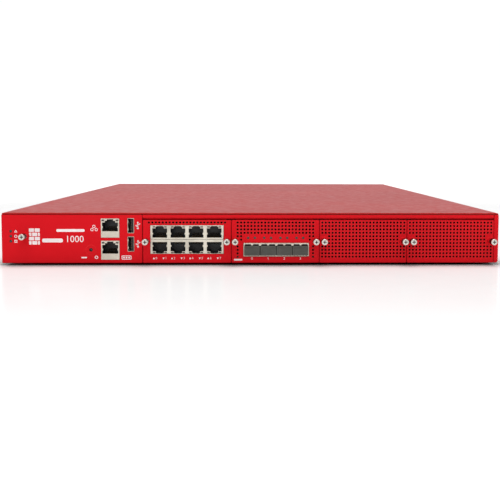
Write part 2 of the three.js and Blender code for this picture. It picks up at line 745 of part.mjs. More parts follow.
PSU.x.forEach((cx, i) => {
  const side = i === 0 ? "outer" : "inner";
  piece(chassis, `psu_case_${side}`, psuGeometry(cx), zincSteel);
  piece(chassis, `psu_latch_${side}`, latchGeometry(cx), releaseGreen);
  const rotor = rotorGeometry(cx + PSU_FAN.x, PSU_FAN.z, 551, 570, 9.5, PSU_FAN.bore - 0.8);
  piece(chassis, `psu_fan_rotor_${side}`, rotor, blackPlastic);
});

piece(chassis, "fan_tray", fanTrayGeometry(), blackPlastic);
FAN.x.forEach((x, i) => {
  const rotor = rotorGeometry(x, FAN.z, FAN.front + 2, FAN.back - 5.5, 11.5, FAN.bore - 0.8);
  piece(chassis, `fan_rotor_${i + 1}`, rotor, blackPlastic);
});
piece(chassis, "power_switch", rockerGeometry(), blackPlastic);

const appliance = new THREE.Group();
appliance.add(chassis);
export default appliance;
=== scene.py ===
"""A red one-unit rack firewall appliance on a pale floor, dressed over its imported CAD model.

Shapes are written in millimetres in the case's own coordinates: x runs to the right across the front,
y is the depth behind the front face and z is the height above the underside of the case.
"""

from math import cos, pi, radians, sin

import bmesh
import bpy
from mathutils import Matrix, Vector
from mathutils.geometry import delaunay_2d_cdt


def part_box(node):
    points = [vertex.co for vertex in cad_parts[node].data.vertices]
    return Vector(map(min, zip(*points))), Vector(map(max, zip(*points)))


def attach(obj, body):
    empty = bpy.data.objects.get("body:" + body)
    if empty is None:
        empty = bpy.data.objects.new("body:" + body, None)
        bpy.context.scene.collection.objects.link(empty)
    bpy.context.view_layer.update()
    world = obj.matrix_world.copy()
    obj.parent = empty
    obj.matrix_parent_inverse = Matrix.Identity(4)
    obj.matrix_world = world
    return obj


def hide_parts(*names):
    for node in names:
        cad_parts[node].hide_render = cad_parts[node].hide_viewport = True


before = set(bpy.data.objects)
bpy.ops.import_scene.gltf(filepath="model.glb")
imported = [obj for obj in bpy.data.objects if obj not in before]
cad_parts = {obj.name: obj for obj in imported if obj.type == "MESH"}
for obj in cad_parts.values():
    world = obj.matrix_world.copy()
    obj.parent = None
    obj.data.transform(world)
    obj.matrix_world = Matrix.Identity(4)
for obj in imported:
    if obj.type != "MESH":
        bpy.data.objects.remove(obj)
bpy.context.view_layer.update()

MM = 0.001
CASE_ORIGIN = Vector((0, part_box("control_panel")[0].y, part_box("chassis_tray")[0].z))


def case_box(node):
    """Lowest and highest corners of a CAD node, in the case's millimetres."""
    low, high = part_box(node)
    return (low - CASE_ORIGIN) / MM, (high - CASE_ORIGIN) / MM


def middle_x(node):
    """Where a CAD node's middle stands across the case."""
    low, high = case_box(node)
    return (low.x + high.x) / 2


# ------------------------------------------------------------------ shapes


def rect(x0, x1, z0, z1, radius=0.0, steps=3):
    """A rectangle's corners, rounded by the radius, anticlockwise from the lower left."""
    if radius <= 0:
        return [(x0, z0), (x1, z0), (x1, z1), (x0, z1)]
    loop = []
    centres = [(x0, z0, 1, 1), (x1, z0, -1, 1), (x1, z1, -1, -1), (x0, z1, 1, -1)]
    for corner, (x, z, inward_x, inward_z) in enumerate(centres):
        for k in range(steps + 1):
            a = pi + corner * pi / 2 + k * pi / 2 / steps
            loop.append((x + inward_x * radius + radius * cos(a), z + inward_z * radius + radius * sin(a)))
    return loop


def block(x, z, half_x, half_z, radius=0.0, steps=1):
    """A rectangle round its middle."""
    return rect(x - half_x, x + half_x, z - half_z, z + half_z, radius, steps)


def circle(x, z, radius, sides=24):
    turns = [2 * pi * i / sides for i in range(sides)]
    return [(x + radius * cos(a), z + radius * sin(a)) for a in turns]


def grown(loop, amount):
    """An anticlockwise loop moved outward by an amount, or inward if it is negative."""
    result = []
    count = len(loop)
    for i, (x, z) in enumerate(loop):
        ax, az = loop[i - 1]
        bx, bz = loop[(i + 1) % count]
        first = Vector((z - az, ax - x)).normalized()
        second = Vector((bz - z, x - bx)).normalized()
        middle = first + second
        scale = 2 * amount / max(middle.length_squared, 0.5)
        result.append((x + middle.x * scale, z + middle.y * scale))
    return result


def inside(point, loop):
    """Whether a point is inside a loop, by the crossings to its right."""
    x, z = point
    hit = False
    for i, (ax, az) in enumerate(loop):
        bx, bz = loop[i - 1]
        if (az > z) != (bz > z) and x < ax + (z - az) * (bx - ax) / (bz - az):
            hit = not hit
    return hit


def extent(loop):
    """The least and greatest x of a loop, then its least and greatest z."""
    across = [p[0] for p in loop]
    upward = [p[1] for p in loop]
    return min(across), max(across), min(upward), max(upward)


class Shape:
    """Vertices and faces gathered piece by piece, in the case's millimetres."""

    def __init__(self):
        self.verts = []
        self.faces = []

    def add(self, verts, faces):
        start = len(self.verts)
        self.verts += [tuple(v) for v in verts]
        self.faces += [tuple(start + i for i in face) for face in faces]
        return self

    def rings(self, rings, first_cap=True, last_cap=True):
        """Joins rings that have the same number of points into a tube."""
        count = len(rings[0])
        verts = [v for ring in rings for v in ring]
        faces = []
        for k in range(len(rings) - 1):
            for i in range(count):
                j = (i + 1) % count
                faces.append((k * count + i, k * count + j, (k + 1) * count + j, (k + 1) * count + i))
        if first_cap:
            faces.append(tuple(range(count)))
        if last_cap:
            faces.append(tuple((len(rings) - 1) * count + i for i in range(count)))
        return self.add(verts, faces)

    def prism(self, loop, y0, y1):
        """An (x, z) loop run back from y0 to y1."""
        return self.rings([[(x, y, z) for x, z in loop] for y in (y0, y1)])

    def prism_x(self, loop, x0, x1):
        """A (y, z) loop run across from x0 to x1."""
        return self.rings([[(x, y, z) for y, z in loop] for x in (x0, x1)])

    def prism_z(self, loop, z0, z1):
        """An (x, y) loop run up from z0 to z1."""
        return self.rings([[(x, y, z) for x, y in loop] for z in (z0, z1)])

    def box(self, x0, x1, y0, y1, z0, z1):
        return self.prism(rect(x0, x1, z0, z1), y0, y1)

    def turned(self, profile, x, z, sides=24, ridge=None):
        """A profile of (radius, y) turned about a line along y. Ridge gives each point's extra radius."""
        rings = []
        for k, (r, y) in enumerate(profile):
            swell = ridge[k] if ridge else 0
            ring = []
            for i in range(sides):
                radius = max(r, 0.01) + (swell if i % 2 else 0)
                a = 2 * pi * i / sides
                ring.append((x + radius * cos(a), y, z + radius * sin(a)))
            rings.append(ring)
        return self.rings(rings)

    def wire(self, points, radius, sides=8, closed=False):
        """A round wire through points."""
        points = [Vector(p) for p in points]
        count = len(points)
        rings = []
        for i, p in enumerate(points):
            ahead = points[(i + 1) % count] if closed or i < count - 1 else p
            behind = points[i - 1] if closed or i else p
            along = (ahead - behind).normalized()
            aside = along.cross(Vector((0, 0, 1)))
            if aside.length < 0.1:
                aside = along.cross(Vector((0, 1, 0)))
            aside.normalize()
            upward = aside.cross(along)
            turns = [2 * pi * k / sides for k in range(sides)]
            rings.append([p + aside * (radius * cos(a)) + upward * (radius * sin(a)) for a in turns])
        if closed:
            rings.append(rings[0])
        return self.rings(rings, not closed, not closed)

    def plate(self, outer, holes, y0, y1, rim=0.6, steps=3):
        """A sheet from y0 to y1 with a rounded front rim. Each hole is (loop, its own rounding)."""
        inward = 1 if y1 > y0 else -1
        edges = [(outer, grown(outer, -rim), rim)]
        edges += [(loop, grown(loop, soft) if soft else loop, soft) for loop, soft in holes]
        flat = []
        lines = []
        starts = []
        for _, face_loop, _ in edges:
            start = len(flat)
            count = len(face_loop)
            starts.append(start)
            flat += [Vector(p) for p in face_loop]
            lines += [(start + i, start + (i + 1) % count) for i in range(count)]
        points, _, faces, origins, _, _ = delaunay_2d_cdt(flat, lines, [], 1, 1e-7)
        openings = [(extent(face_loop), face_loop) for _, face_loop, _ in edges[1:]]
        kept = []
        for face in faces:
            middle = sum((points[i] for i in face), Vector((0, 0))) / len(face)
            near = [loop for (x0, x1, z0, z1), loop in openings if x0 < middle.x < x1 and z0 < middle.y < z1]
            if inside(middle, edges[0][1]) and not any(inside(middle, loop) for loop in near):
                kept.append(face)
        place = {origin: i for i, found in enumerate(origins) for origin in found}
        count = len(points)
        verts = [(p.x, y, p.y) for y in (y0, y1) for p in points]
        sides = [face[::-1] for face in kept] + [tuple(i + count for i in face) for face in kept]
        for (edge, face_loop, soft), start in zip(edges, starts):
            front = [place[start + i] for i in range(len(edge))]
            rings = [front]
            if soft:
                for k in range(1, steps + 1):
                    a = pi / 2 * k / steps
                    out = sin(a)
                    depth = y0 + inward * soft * (1 - cos(a))
                    rings.append(range(len(verts), len(verts) + len(edge)))
                    for (ex, ez), (fx, fz) in zip(edge, face_loop):
                        verts.append((fx + (ex - fx) * out, depth, fz + (ez - fz) * out))
                rings.append(range(len(verts), len(verts) + len(edge)))
                verts += [(x, y1, z) for x, z in edge]
            rings.append([i + count for i in front])
            for near, far in zip(rings, rings[1:]):
                for i in range(len(edge)):
                    j = (i + 1) % len(edge)
                    sides.append((near[i], near[j], far[j], far[i]))
        return self.add(verts, sides)


def piece(name, shape, body, material, replaces=(), bevel=0.0, at=None):
    """Makes a shape into an object that rides on a body. With a place given, the shape is drawn round it."""
    mesh = bpy.data.meshes.new(name)
    origin = CASE_ORIGIN if at is None else Vector((0, 0, 0))
    mesh.from_pydata([Vector(v) * MM + origin for v in shape.verts], [], shape.faces)
    work = bmesh.new()
    work.from_mesh(mesh)
    bmesh.ops.remove_doubles(work, verts=work.verts, dist=1e-7)
    bmesh.ops.recalc_face_normals(work, faces=work.faces)
    work.to_mesh(mesh)
    work.free()
    for face in mesh.polygons:
        face.use_smooth = True
    mesh.set_sharp_from_angle(angle=radians(38))
    mesh.materials.append(material)
    thing = bpy.data.objects.new(name, mesh)
    bpy.context.scene.collection.objects.link(thing)
    return settle(thing, body, replaces, bevel, at)


def settle(thing, body, replaces=(), bevel=0.0, at=None):
    """Places an object, rounds its edges and ties it to its body and the nodes it stands for."""
    if at is not None:
        thing.location = CASE_ORIGIN + Vector(at) * MM
    if bevel:
        soften(thing, bevel)
    flatten(thing)
    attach(thing, body)
    if replaces:
        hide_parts(*replaces)
    return thing


def soften(thing, width):
    rounding = thing.modifiers.new("rounded edges", "BEVEL")
    rounding.width = width * MM
    rounding.segments = 2
    rounding.limit_method = "ANGLE"
    rounding.angle_limit = radians(40)
    rounding.harden_normals = True


def flatten(thing):
    """Lets big flat faces set the shading at their rounded edges."""
    weighted = thing.modifiers.new("flat faces stay flat", "WEIGHTED_NORMAL")
    weighted.weight = 80
    weighted.keep_sharp = True


def copy_of(thing, name, body, replaces, at):
    """Another object with the same mesh, at its own place."""
    twin = bpy.data.objects.new(name, thing.data)
    bpy.context.scene.collection.objects.link(twin)
    return settle(twin, body, replaces, at=at)


# ------------------------------------------------------------------ materials


def linear(colour):
    """A hex colour as linear red, green and blue."""
    channels = [int(colour[i:i + 2], 16) / 255 for i in (0, 2, 4)]
    return [c / 12.92 if c <= 0.04045 else ((c + 0.055) / 1.055) ** 2.4 for c in channels]


class Surface:
    """Builds one node material over a Principled shader."""

    def __init__(self, name, roughness=0.5, metallic=0.0, specular=0.5):
        self.material = bpy.data.materials.new(name)
        self.material.use_nodes = True
        self.tree = self.material.node_tree
        self.shader = self.tree.nodes["Principled BSDF"]
        self.shader.inputs["Roughness"].default_value = roughness
        self.shader.inputs["Metallic"].default_value = metallic
        self.shader.inputs["Specular IOR Level"].default_value = specular
        self.place = self.tree.nodes.new("ShaderNodeTexCoord").outputs["Object"]

    def node(self, kind, values=(), **settings):
        made = self.tree.nodes.new(kind)
        for key, value in settings.items():
            setattr(made, key, value)
        for key, value in dict(values).items():
            made.inputs[key].default_value = value
        return made

    def link(self, start, end):
        self.tree.links.new(start, end)

    def noise(self, scale, detail=3.0, stretch=(1, 1, 1), roughness=0.55):
        place = self.place
        if stretch != (1, 1, 1):
            mapping = self.node("ShaderNodeMapping", {"Scale": stretch})
            self.link(place, mapping.inputs["Vector"])
            place = mapping.outputs["Vector"]
        noise = self.node("ShaderNodeTexNoise", {"Scale": scale, "Detail": detail, "Roughness": roughness})
        self.link(place, noise.inputs["Vector"])
        return noise.outputs["Fac"]

    def ranged(self, source, low, high, start=0.3, end=0.7):
        """A value from low to high as the source goes from start to end."""
        span = self.node("ShaderNodeMapRange",
                         {"From Min": start, "From Max": end, "To Min": low, "To Max": high})
        self.link(source, span.inputs["Value"])
        return span.outputs["Result"]

    def mixed(self, factor, first, second):
        """Two colours mixed by a factor. Each is a hex colour or another node's output."""
        mix = self.node("ShaderNodeMix", data_type="RGBA")
        self.link(factor, mix.inputs["Factor"])
        for socket, colour in ((mix.inputs[6], first), (mix.inputs[7], second)):
            if isinstance(colour, str):
                socket.default_value = (*linear(colour), 1)
            else:
                self.link(colour, socket)
        return mix.outputs[2]

    def colour(self, source):
        self.link(source, self.shader.inputs["Base Color"])
        return self

    def rough(self, source):
        self.link(source, self.shader.inputs["Roughness"])
        return self

    def bump(self, *layers):
        """Each layer is (height source, depth in millimetres)."""
        normal = None
        for source, depth in layers:
            bump = self.node("ShaderNodeBump", {"Strength": 1.0, "Distance": depth * MM})
            self.link(source, bump.inputs["Height"])
            if normal is not None:
                self.link(normal, bump.inputs["Normal"])
            normal = bump.outputs["Normal"]
        self.link(normal, self.shader.inputs["Normal"])
        return self


def enamel(name, light, dark, roughness=0.36, specular=0.025):
    """Satin powder coat: fine orange peel, a slow drift of tone, and a paler colour along edges that is
    partly edge wear and partly a painted highlight.
    """
    s = Surface(name, specular=specular)
    drift = s.ranged(s.noise(9, 3), 0, 1, 0.3, 0.7)
    base = s.mixed(drift, light, dark)
    rounded = s.node("ShaderNodeBevel", {"Radius": 0.6 * MM}, samples=6)
    turn = s.node("ShaderNodeVectorMath", operation="DOT_PRODUCT")
    s.link(rounded.outputs["Normal"], turn.inputs[0])
    s.link(s.node("ShaderNodeNewGeometry").outputs["True Normal"], turn.inputs[1])
    # Painted highlight: edges and hole rims turn paler pink where the bevelled normal leaves the true normal.
    rim_highlight_and_wear = s.ranged(turn.outputs["Value"], 0.3, 0, 0.8, 0.99)
    s.colour(s.mixed(rim_highlight_and_wear, base, "ee6a62"))
    s.rough(s.ranged(s.noise(160, 2), roughness - 0.05, roughness + 0.06))
    return s.bump((s.noise(900, 2), 0.012), (s.noise(3200, 1), 0.004)).material


def sheet_metal(name, light, dark, roughness, stretch=(1, 1, 26), metallic=1.0):
    """Plated sheet with a fine drawn grain and uneven tarnish."""
    s = Surface(name, metallic=metallic)
    tarnish = s.ranged(s.noise(70, 4), 0, 1, 0.35, 0.7)
    s.colour(s.mixed(tarnish, light, dark))
    grain = s.noise(1400, 3, stretch)
    s.rough(s.ranged(grain, roughness - 0.07, roughness + 0.1))
    return s.bump((grain, 0.006), (s.noise(420, 2), 0.008)).material


def moulded(name, light, dark, roughness, grain=1500, depth=0.012, specular=0.4):
    """Moulded plastic or rubber with a spark-eroded grain."""
    s = Surface(name, specular=specular)
    s.colour(s.mixed(s.ranged(s.noise(45, 3), 0, 1), light, dark))
    s.rough(s.ranged(s.noise(220, 3), roughness - 0.07, roughness + 0.08))
    return s.bump((s.noise(grain, 2), depth), (s.noise(240, 2), depth)).material


def circuit_board(name, light, dark):
    """Solder mask with the ridges of buried tracks and bright plated dots."""
    s = Surface(name, specular=0.5)
    mapping = s.node("ShaderNodeMapping", {"Scale": (1, 0.35, 1)})
    s.link(s.place, mapping.inputs["Vector"])
    tracks = s.node("ShaderNodeTexBrick", {"Scale": 150.0, "Mortar Size": 0.06, "Bias": 0.0},
                    offset=0.35, squash=0.6, squash_frequency=3)
    s.link(mapping.outputs["Vector"], tracks.inputs["Vector"])
    ridge = tracks.outputs["Fac"]
    base = s.mixed(ridge, dark, light)
    dots = s.node("ShaderNodeTexVoronoi", {"Scale": 210.0, "Randomness": 0.8})
    s.link(s.place, dots.inputs["Vector"])
    pad = s.ranged(dots.outputs["Distance"], 1, 0, 0.1, 0.14)
    s.colour(s.mixed(pad, base, "b6a46a"))
    s.rough(s.ranged(s.noise(300, 2), 0.28, 0.42))
    return s.bump((ridge, 0.03), (pad, 0.02)).material


RED = enamel("red_enamel", "d71922", "cc1720")
# A darker copy of the red enamel for the cover and the tray: painted shade, since their top and sides take
# less light than the front.
RED_COVER_SHADED = enamel("red_enamel_cover_painted_shade", "b21f1b", "a91b18", roughness=0.42, specular=0.17)
NICKEL = sheet_metal("nickel", "dedad2", "c2bdb3", 0.24, stretch=(1, 1, 1))
# Dark nickel for the knurled thumbscrew barrels: partly a darker plating, partly painted shade behind the
# bright caps.
DARK_NICKEL_AND_SHADE = sheet_metal("dark_nickel_and_painted_shade", "413f40", "2e2c2d", 0.4, stretch=(1, 1, 1))
# Near-black steel for the bay guides, so that the seams between the faceplates read dark: painted shade.
GUIDE_PAINTED_SHADE = sheet_metal("guide_steel_painted_shade", "2b2628", "1f1b1d", 0.6)
SHIELD = sheet_metal("tinned_shield", "ddd6c8", "c2bbad", 0.34)
ZINC = sheet_metal("zinc_plate", "c3c7cc", "a4a9b0", 0.4, stretch=(1, 22, 1))
ALUMINIUM = sheet_metal("plain_aluminium", "cfd2d6", "b2b6bb", 0.34, stretch=(1, 30, 1))
GOLD = sheet_metal("contact_gold", "e2b45c", "c8953e", 0.25, stretch=(1, 1, 1))
BLACK = moulded("black_plastic", "1d1d1f", "141415", 0.46)
SOCKET = moulded("socket_plastic", "26262a", "19191b", 0.38)
# Near-black sheets laid where there is only shade, in cage slots and wall holes: painted shadow.
PAINTED_SHADOW = moulded("deep_shadow", "050505", "030303", 0.8)
RUBBER = moulded("grey_rubber", "55554f", "44443f", 0.72, grain=2200)
FOOT = moulded("foot_rubber", "19191a", "111112", 0.8)
LENS = moulded("lamp_lens", "5b524b", "463e38", 0.3, depth=0.002, specular=0.3)
DARK_LENS = moulded("status_lens", "34302c", "241f1c", 0.16, depth=0.002, specular=0.7)
INK = moulded("white_ink", "f4eeee", "e7dcdc", 0.55, depth=0.003)
GREEN = circuit_board("solder_mask_green", "1f5a35", "123f24")
LATCH = moulded("latch_green", "2f9a62", "257f4f", 0.4)
RIBBON = moulded("ribbon_grey", "a9a9a6", "8f8f8c", 0.55)
CHIP = moulded("chip_epoxy", "1c1c1d", "131313", 0.62, grain=3000)


# ------------------------------------------------------------------ printing


INK_THICK = 0.03


def numbered(shape, text, x, z, height):
    """A printed numeral centred at (x, z) on the front face."""
    curve = bpy.data.curves.new("numeral", "FONT")
    curve.body = text
    curve.align_x = "CENTER"
    curve.align_y = "CENTER"
    curve.size = height * 1.45
    curve.resolution_u = 3
    curve.extrude = INK_THICK / 2
    holder = bpy.data.objects.new("numeral", curve)
    bpy.context.scene.collection.objects.link(holder)
    mesh = holder.to_mesh()
    verts = [(x + v.co.x, -v.co.z, z + v.co.y) for v in mesh.vertices]
    shape.add(verts, [tuple(face.vertices) for face in mesh.polygons])
    holder.to_mesh_clear()
    bpy.data.objects.remove(holder)


def inked(shape, loop, hole=None):
    """A flat printed mark on the front face, with an optional hole."""
    holes = [(hole, 0)] if hole else []
    return shape.plate(loop, holes, -INK_THICK, 0, rim=0)


def ring_mark(shape, x, z, radius, width, sides=20):
    return inked(shape, circle(x, z, radius, sides), hole=circle(x, z, radius - width, sides))


def triangle(x, z, size, up=True):
    tip = size if up else -size
    loop = [(x - size, z - tip * 0.7), (x + size, z - tip * 0.7), (x, z + tip)]
    return loop if up else loop[::-1]


# ------------------------------------------------------------------ control panel


STATUS_X = -211.0
STATUS_Z = (27.7, 23.3, 18.9)
RESET_X, RESET_Z = -141.5, 11.3
PANEL_SCREW_X, PANEL_SCREW_Z = -198, 23.9
# The painted fronts: sheet, folded edges, rounding of the front rim and of the corners, and where they end.
SHEET = 1.5
FOLD = 1.2
RIM = 0.65
CORNER = 0.75
LOWER_EDGE = -0.45


def window(node, spare=0.1, soft=0.2):
    """The opening a part stands in: its own outline with a little to spare."""
    low, high = case_box(node)
    return rect(low.x - spare, high.x + spare, low.z - spare, high.z + spare, 0.3, 1), soft


def control_panel():
    low, high = case_box("control_panel")
    holes = [window(node) for node in ("management_jack", "console_jack", "usb_port_upper", "usb_port_lower")]
    holes += [(circle(STATUS_X, z, 1.25, 20), 0.15) for z in STATUS_Z]
    holes.append((circle(RESET_X, RESET_Z, 1.6, 24), 0.25))
    holes.append((circle(PANEL_SCREW_X, PANEL_SCREW_Z, 2.2, 24), 0))
    panel = Shape().plate(rect(low.x, high.x, LOWER_EDGE, high.z, CORNER, 3), holes, 0, SHEET, rim=RIM)
    panel.box(low.x + 3.2, high.x, SHEET - 0.1, 10, high.z - FOLD, high.z)
    piece("control_panel_face", panel, "chassis", RED, ["control_panel"])
    pin_hole = circle(RESET_X, RESET_Z, 1.65, 24)
    collar = Shape().plate(circle(RESET_X, RESET_Z, 4.6, 32), [(pin_hole, 0)], -0.07, 0.0, rim=0.06)
    piece("reset_ring", collar, "chassis", RED)


def status_lights():
    lamps = Shape()
    for z in STATUS_Z:
        lamps.turned([(0, 0.05), (0.6, 0.12), (1.05, 0.4), (1.05, 12), (0, 12)], STATUS_X, z)
    low, high = case_box("status_light_pipe")
    lamps.box(low.x, high.x, 10, high.y, low.z, high.z)
    piece("status_lamps", lamps, "chassis", DARK_LENS, ["status_light_pipe"])


def panel_print():
    """Plain pictograms and bars where the real front carries marks and lettering."""
    ink = Shape()
    mark_x = -206.6
    inked(ink, triangle(mark_x, STATUS_Z[0], 1.4), hole=triangle(mark_x, STATUS_Z[0] - 0.05, 0.6))
    ring_mark(ink, mark_x, STATUS_Z[1], 1.3, 0.5)
    outer = rect(mark_x - 1.2, mark_x + 1.2, STATUS_Z[2] - 1.2, STATUS_Z[2] + 1.2)
    inked(ink, outer, hole=rect(mark_x - 0.6, mark_x + 0.6, STATUS_Z[2] - 0.6, STATUS_Z[2] + 0.6))
    # A wall of bricks, four courses high.
    brick_wide, brick_high, joint = 4.4, 3.1, 0.6
    left, bottom, right = -195.2, 16.0, -185.8
    for course in range(4):
        z = bottom + course * (brick_high + joint)
        shift = 0 if course % 2 else -brick_wide / 2
        for k in range(4):
            x0 = max(left, left + shift + k * (brick_wide + joint))
            x1 = min(right, left + shift + k * (brick_wide + joint) + brick_wide)
            if x1 - x0 > 0.5:
                inked(ink, rect(x0, x1, z, z + brick_high, 0.3, 1))
    # Two bars and a round number where the names would stand.
    inked(ink, rect(-183.8, -165.8, 17.9, 21.3, 1.2, 4))
    numbered(ink, "1000", -155.6, 20.6, 5.6)
    inked(ink, rect(-171.4, -146.8, 27.2, 29.6, 1.1, 4))
    # Three joined nodes beside the upper jack.
    for x, z in ((-138.7, 31.9), (-140.4, 29.2), (-136.7, 29.2)):
        ring_mark(ink, x, z, 1.35, 0.5)
    # A bar for reset, a ring for the console and a framed row of dots for the lower jack.
    inked(ink, rect(-150, -145, 3.9, 5.1, 0.5, 3))
    ring_mark(ink, -136.8, 4.7, 1.5, 0.6)
    inked(ink, rect(-114.8, -106.2, 2.7, 6.3, 0.8, 3), hole=rect(-114.2, -106.8, 3.3, 5.7, 0.4, 2))
    for x in (-112.7, -110.5, -108.3):
        inked(ink, rect(x - 0.75, x + 0.75, 3.8, 5.2, 0.3, 2))
    # A forked plug beside each USB port.
    x = -100.4
    for z in (33.2, 17.0):
        inked(ink, rect(x - 0.3, x + 0.3, z - 2.8, z + 1.8))
        inked(ink, triangle(x, z + 2.3, 0.9))
        inked(ink, circle(x, z - 2.8, 0.9, 16))
        inked(ink, rect(x + 0.2, x + 1.7, z + 0.2, z + 0.7))
        inked(ink, circle(x + 1.6, z + 0.9, 0.55, 12))
        inked(ink, rect(x - 1.6, x - 0.2, z - 1.3, z - 0.8))
        inked(ink, rect(x - 2.0, x - 1.1, z - 0.9, z))
    piece("panel_marks", ink, "chassis", INK)


# ------------------------------------------------------------------ jacks and ports


def mouth(x, low, width, height, steps, up):
    """A jack's opening: a rectangle with a stepped notch. Steps are (half width, height) pairs."""
    right = [(width / 2, 0), (width / 2, height)]
    top = height
    for half, rise in steps:
        right.append((half, top))
        top += rise
        right.append((half, top))
    outline = right + [(-a, b) for a, b in reversed(right)]
    if up:
        return [(x + a, low + b) for a, b in outline]
    return [(x + a, low + height - b) for a, b in reversed(outline)]


def contacts(shape, x, floor, up):
    """Eight contact wires that lean back from the floor of a jack."""
    lift = 1 if up else -1
    for i in range(8):
        at = x + (i - 3.5) * 1.02
        path = ((2.2, 0.35), (9.2, 2.6), (12.8, 2.9))
        shape.wire([(at, y, floor + lift * rise) for y, rise in path], 0.2, sides=6)


def side_springs(shape, x, half, z):
    """The pair of sprung tabs that the shield folds into a jack's mouth."""
    for side in (-1, 1):
        a, b = sorted((x + side * (half + 0.25), x + side * (half - 0.6)))
        shape.prism(rect(a, b, z - 0.9, z + 0.9, 0.4, 3), -0.3, 1.2)


def single_jack(name, low_mouth):
    low, high = case_box(name)
    x = middle_x(name)
    opening = mouth(x, low_mouth, 13.8, 7.7, ((4.5, 1.5), (2.7, 1.4)), True)
    lamp_z = low_mouth + 9.6
    lamp_x = (x - 6.1, x + 6.1)
    holes = [(opening, 0.12)] + [(block(at, lamp_z, 1.2, 0.8, 0.3), 0.08) for at in lamp_x]
    shield = Shape().plate(rect(low.x, high.x, low.z, high.z, 0.4, 2), holes, -0.4, -0.05, rim=0.25)
    sleeve = rect(low.x, high.x, low.z, high.z)
    shield.plate(sleeve, [(grown(sleeve, -0.35), 0)], -0.05, high.y, rim=0)
    side_springs(shield, x, 6.9, low_mouth + 3.6)
    shield.prism(rect(x - 3, x + 3, low.z + 1.6, low.z + 2.4, 0.3, 2), -0.55, -0.35)
    piece(name + "_shield", shield, "chassis", SHIELD, [name])
    liner = Shape().plate(grown(sleeve, -0.4), [(opening, 0)], 0, 13, rim=0)
    liner.box(low.x + 0.4, high.x - 0.4, 13, high.y - 0.2, low.z + 0.4, high.z - 0.4)
    piece(name + "_insert", liner, "chassis", SOCKET)
    lamps = Shape()
    for at in lamp_x:
        lamps.prism(block(at, lamp_z, 1.1, 0.7, 0.25, 2), -0.2, 3)
    piece(name + "_lamps", lamps, "chassis", LENS)
    wires = Shape()
    contacts(wires, x, low_mouth, True)
    piece(name + "_contacts", wires, "chassis", GOLD)


def usb_port(name):
    """A receptacle on its side: a rolled steel shell, a black tongue and four contacts."""
    low, high = case_box(name)
    front, back = low.y, high.y
    outline = rect(low.x, high.x, low.z, high.z, 0.5, 2)
    hollow = grown(outline, -0.35)
    shell = Shape().plate(outline, [(hollow, 0.1)], front, back, rim=0.12)
    x = middle_x(name)
    for z in (low.z + 3.2, high.z - 3.2):
        shell.prism(rect(low.x + 0.2, low.x + 0.75, z - 1.1, z + 1.1, 0.2, 2), front + 0.4, front + 5)
    piece(name + "_shell", shell, "chassis", SHIELD, [name])
    tongue = Shape().box(low.x + 0.4, high.x - 0.4, 11.5, back - 0.1, low.z + 0.4, high.z - 0.4)
    tongue.box(x + 0.2, x + 2.0, 0.9, 11.6, low.z + 0.9, high.z - 0.9)
    piece(name + "_tongue", tongue, "chassis", BLACK, bevel=0.15)
    strips = Shape()
    for k in range(4):
        z = (low.z + high.z) / 2 + (k - 1.5) * 2.3
        strips.box(x + 0.08, x + 0.25, 1.4, 11, z - 0.5, z + 0.5)
    piece(name + "_contacts", strips, "chassis", GOLD)


# ------------------------------------------------------------------ module faceplates


SCREW_REACH = 35.3
SCREW_Z = 19.5
# Radius and distance along the screw of the painted sleeve that each thumbscrew is captive in.
FERRULE = [(1.7, 0.2), (1.7, -5.2), (2.0, -5.5), (2.3, -5.3), (2.4, -1.6), (2.8, -0.7), (3.3, -0.05),
           (3.3, 0.05), (2.0, 0.2)]
HOLE_PITCH = 3.03
HOLE_TOP = 35.4
JACK_PITCH = 15.9


def vent(x, z, half=0.95):
    """One punched air hole: a small square with its corners cut."""
    cut = half * 0.45
    corners = [(half, cut), (cut, half), (-cut, half), (-half, cut)]
    corners += [(-half, -cut), (-cut, -half), (cut, -half), (half, -cut)]
    return [(x + a, z + b) for a, b in corners], 0


def vents(x, columns, rows, left_out=()):
    """A grid of air holes centred at x, less the (column, row) places left out at either side."""
    holes = []
    for column in range(columns):
        for row in range(rows):
            mirrored = columns - 1 - column
            if (column, row) in left_out or (mirrored, row) in left_out:
                continue
            holes.append(vent(x + (column - (columns - 1) / 2) * HOLE_PITCH, HOLE_TOP - row * HOLE_PITCH))
    return holes


def faceplate(name, body, holes, ink=None):
    """A module's front with its rounded rim, folded top and shelf, and the ferrules of its two screws."""
    low, high = case_box(name)
    x = middle_x(name)
    screws = (x - SCREW_REACH, x + SCREW_REACH)
    screw_holes = [(circle(at, SCREW_Z, 2.1, 24), 0) for at in screws]
    outline = rect(low.x, high.x, LOWER_EDGE, high.z, CORNER, 3)
    front = Shape().plate(outline, holes + screw_holes, 0, SHEET, rim=RIM)
    shelf = 4.4 if name == "copper_faceplate" else 2.0
    for back, bottom in ((12, high.z - FOLD), (14, shelf)):
        front.box(x - 34, x + 34, SHEET - 0.1, back, bottom, bottom + FOLD)
    piece(name + "_front", front, body, RED, [name])
    ferrules = Shape()
    for at in screws:
        ferrules.turned(FERRULE, at, SCREW_Z, 28)
    piece(name + "_ferrules", ferrules, body, RED)
    if ink:
        piece(name + "_marks", ink, body, INK)


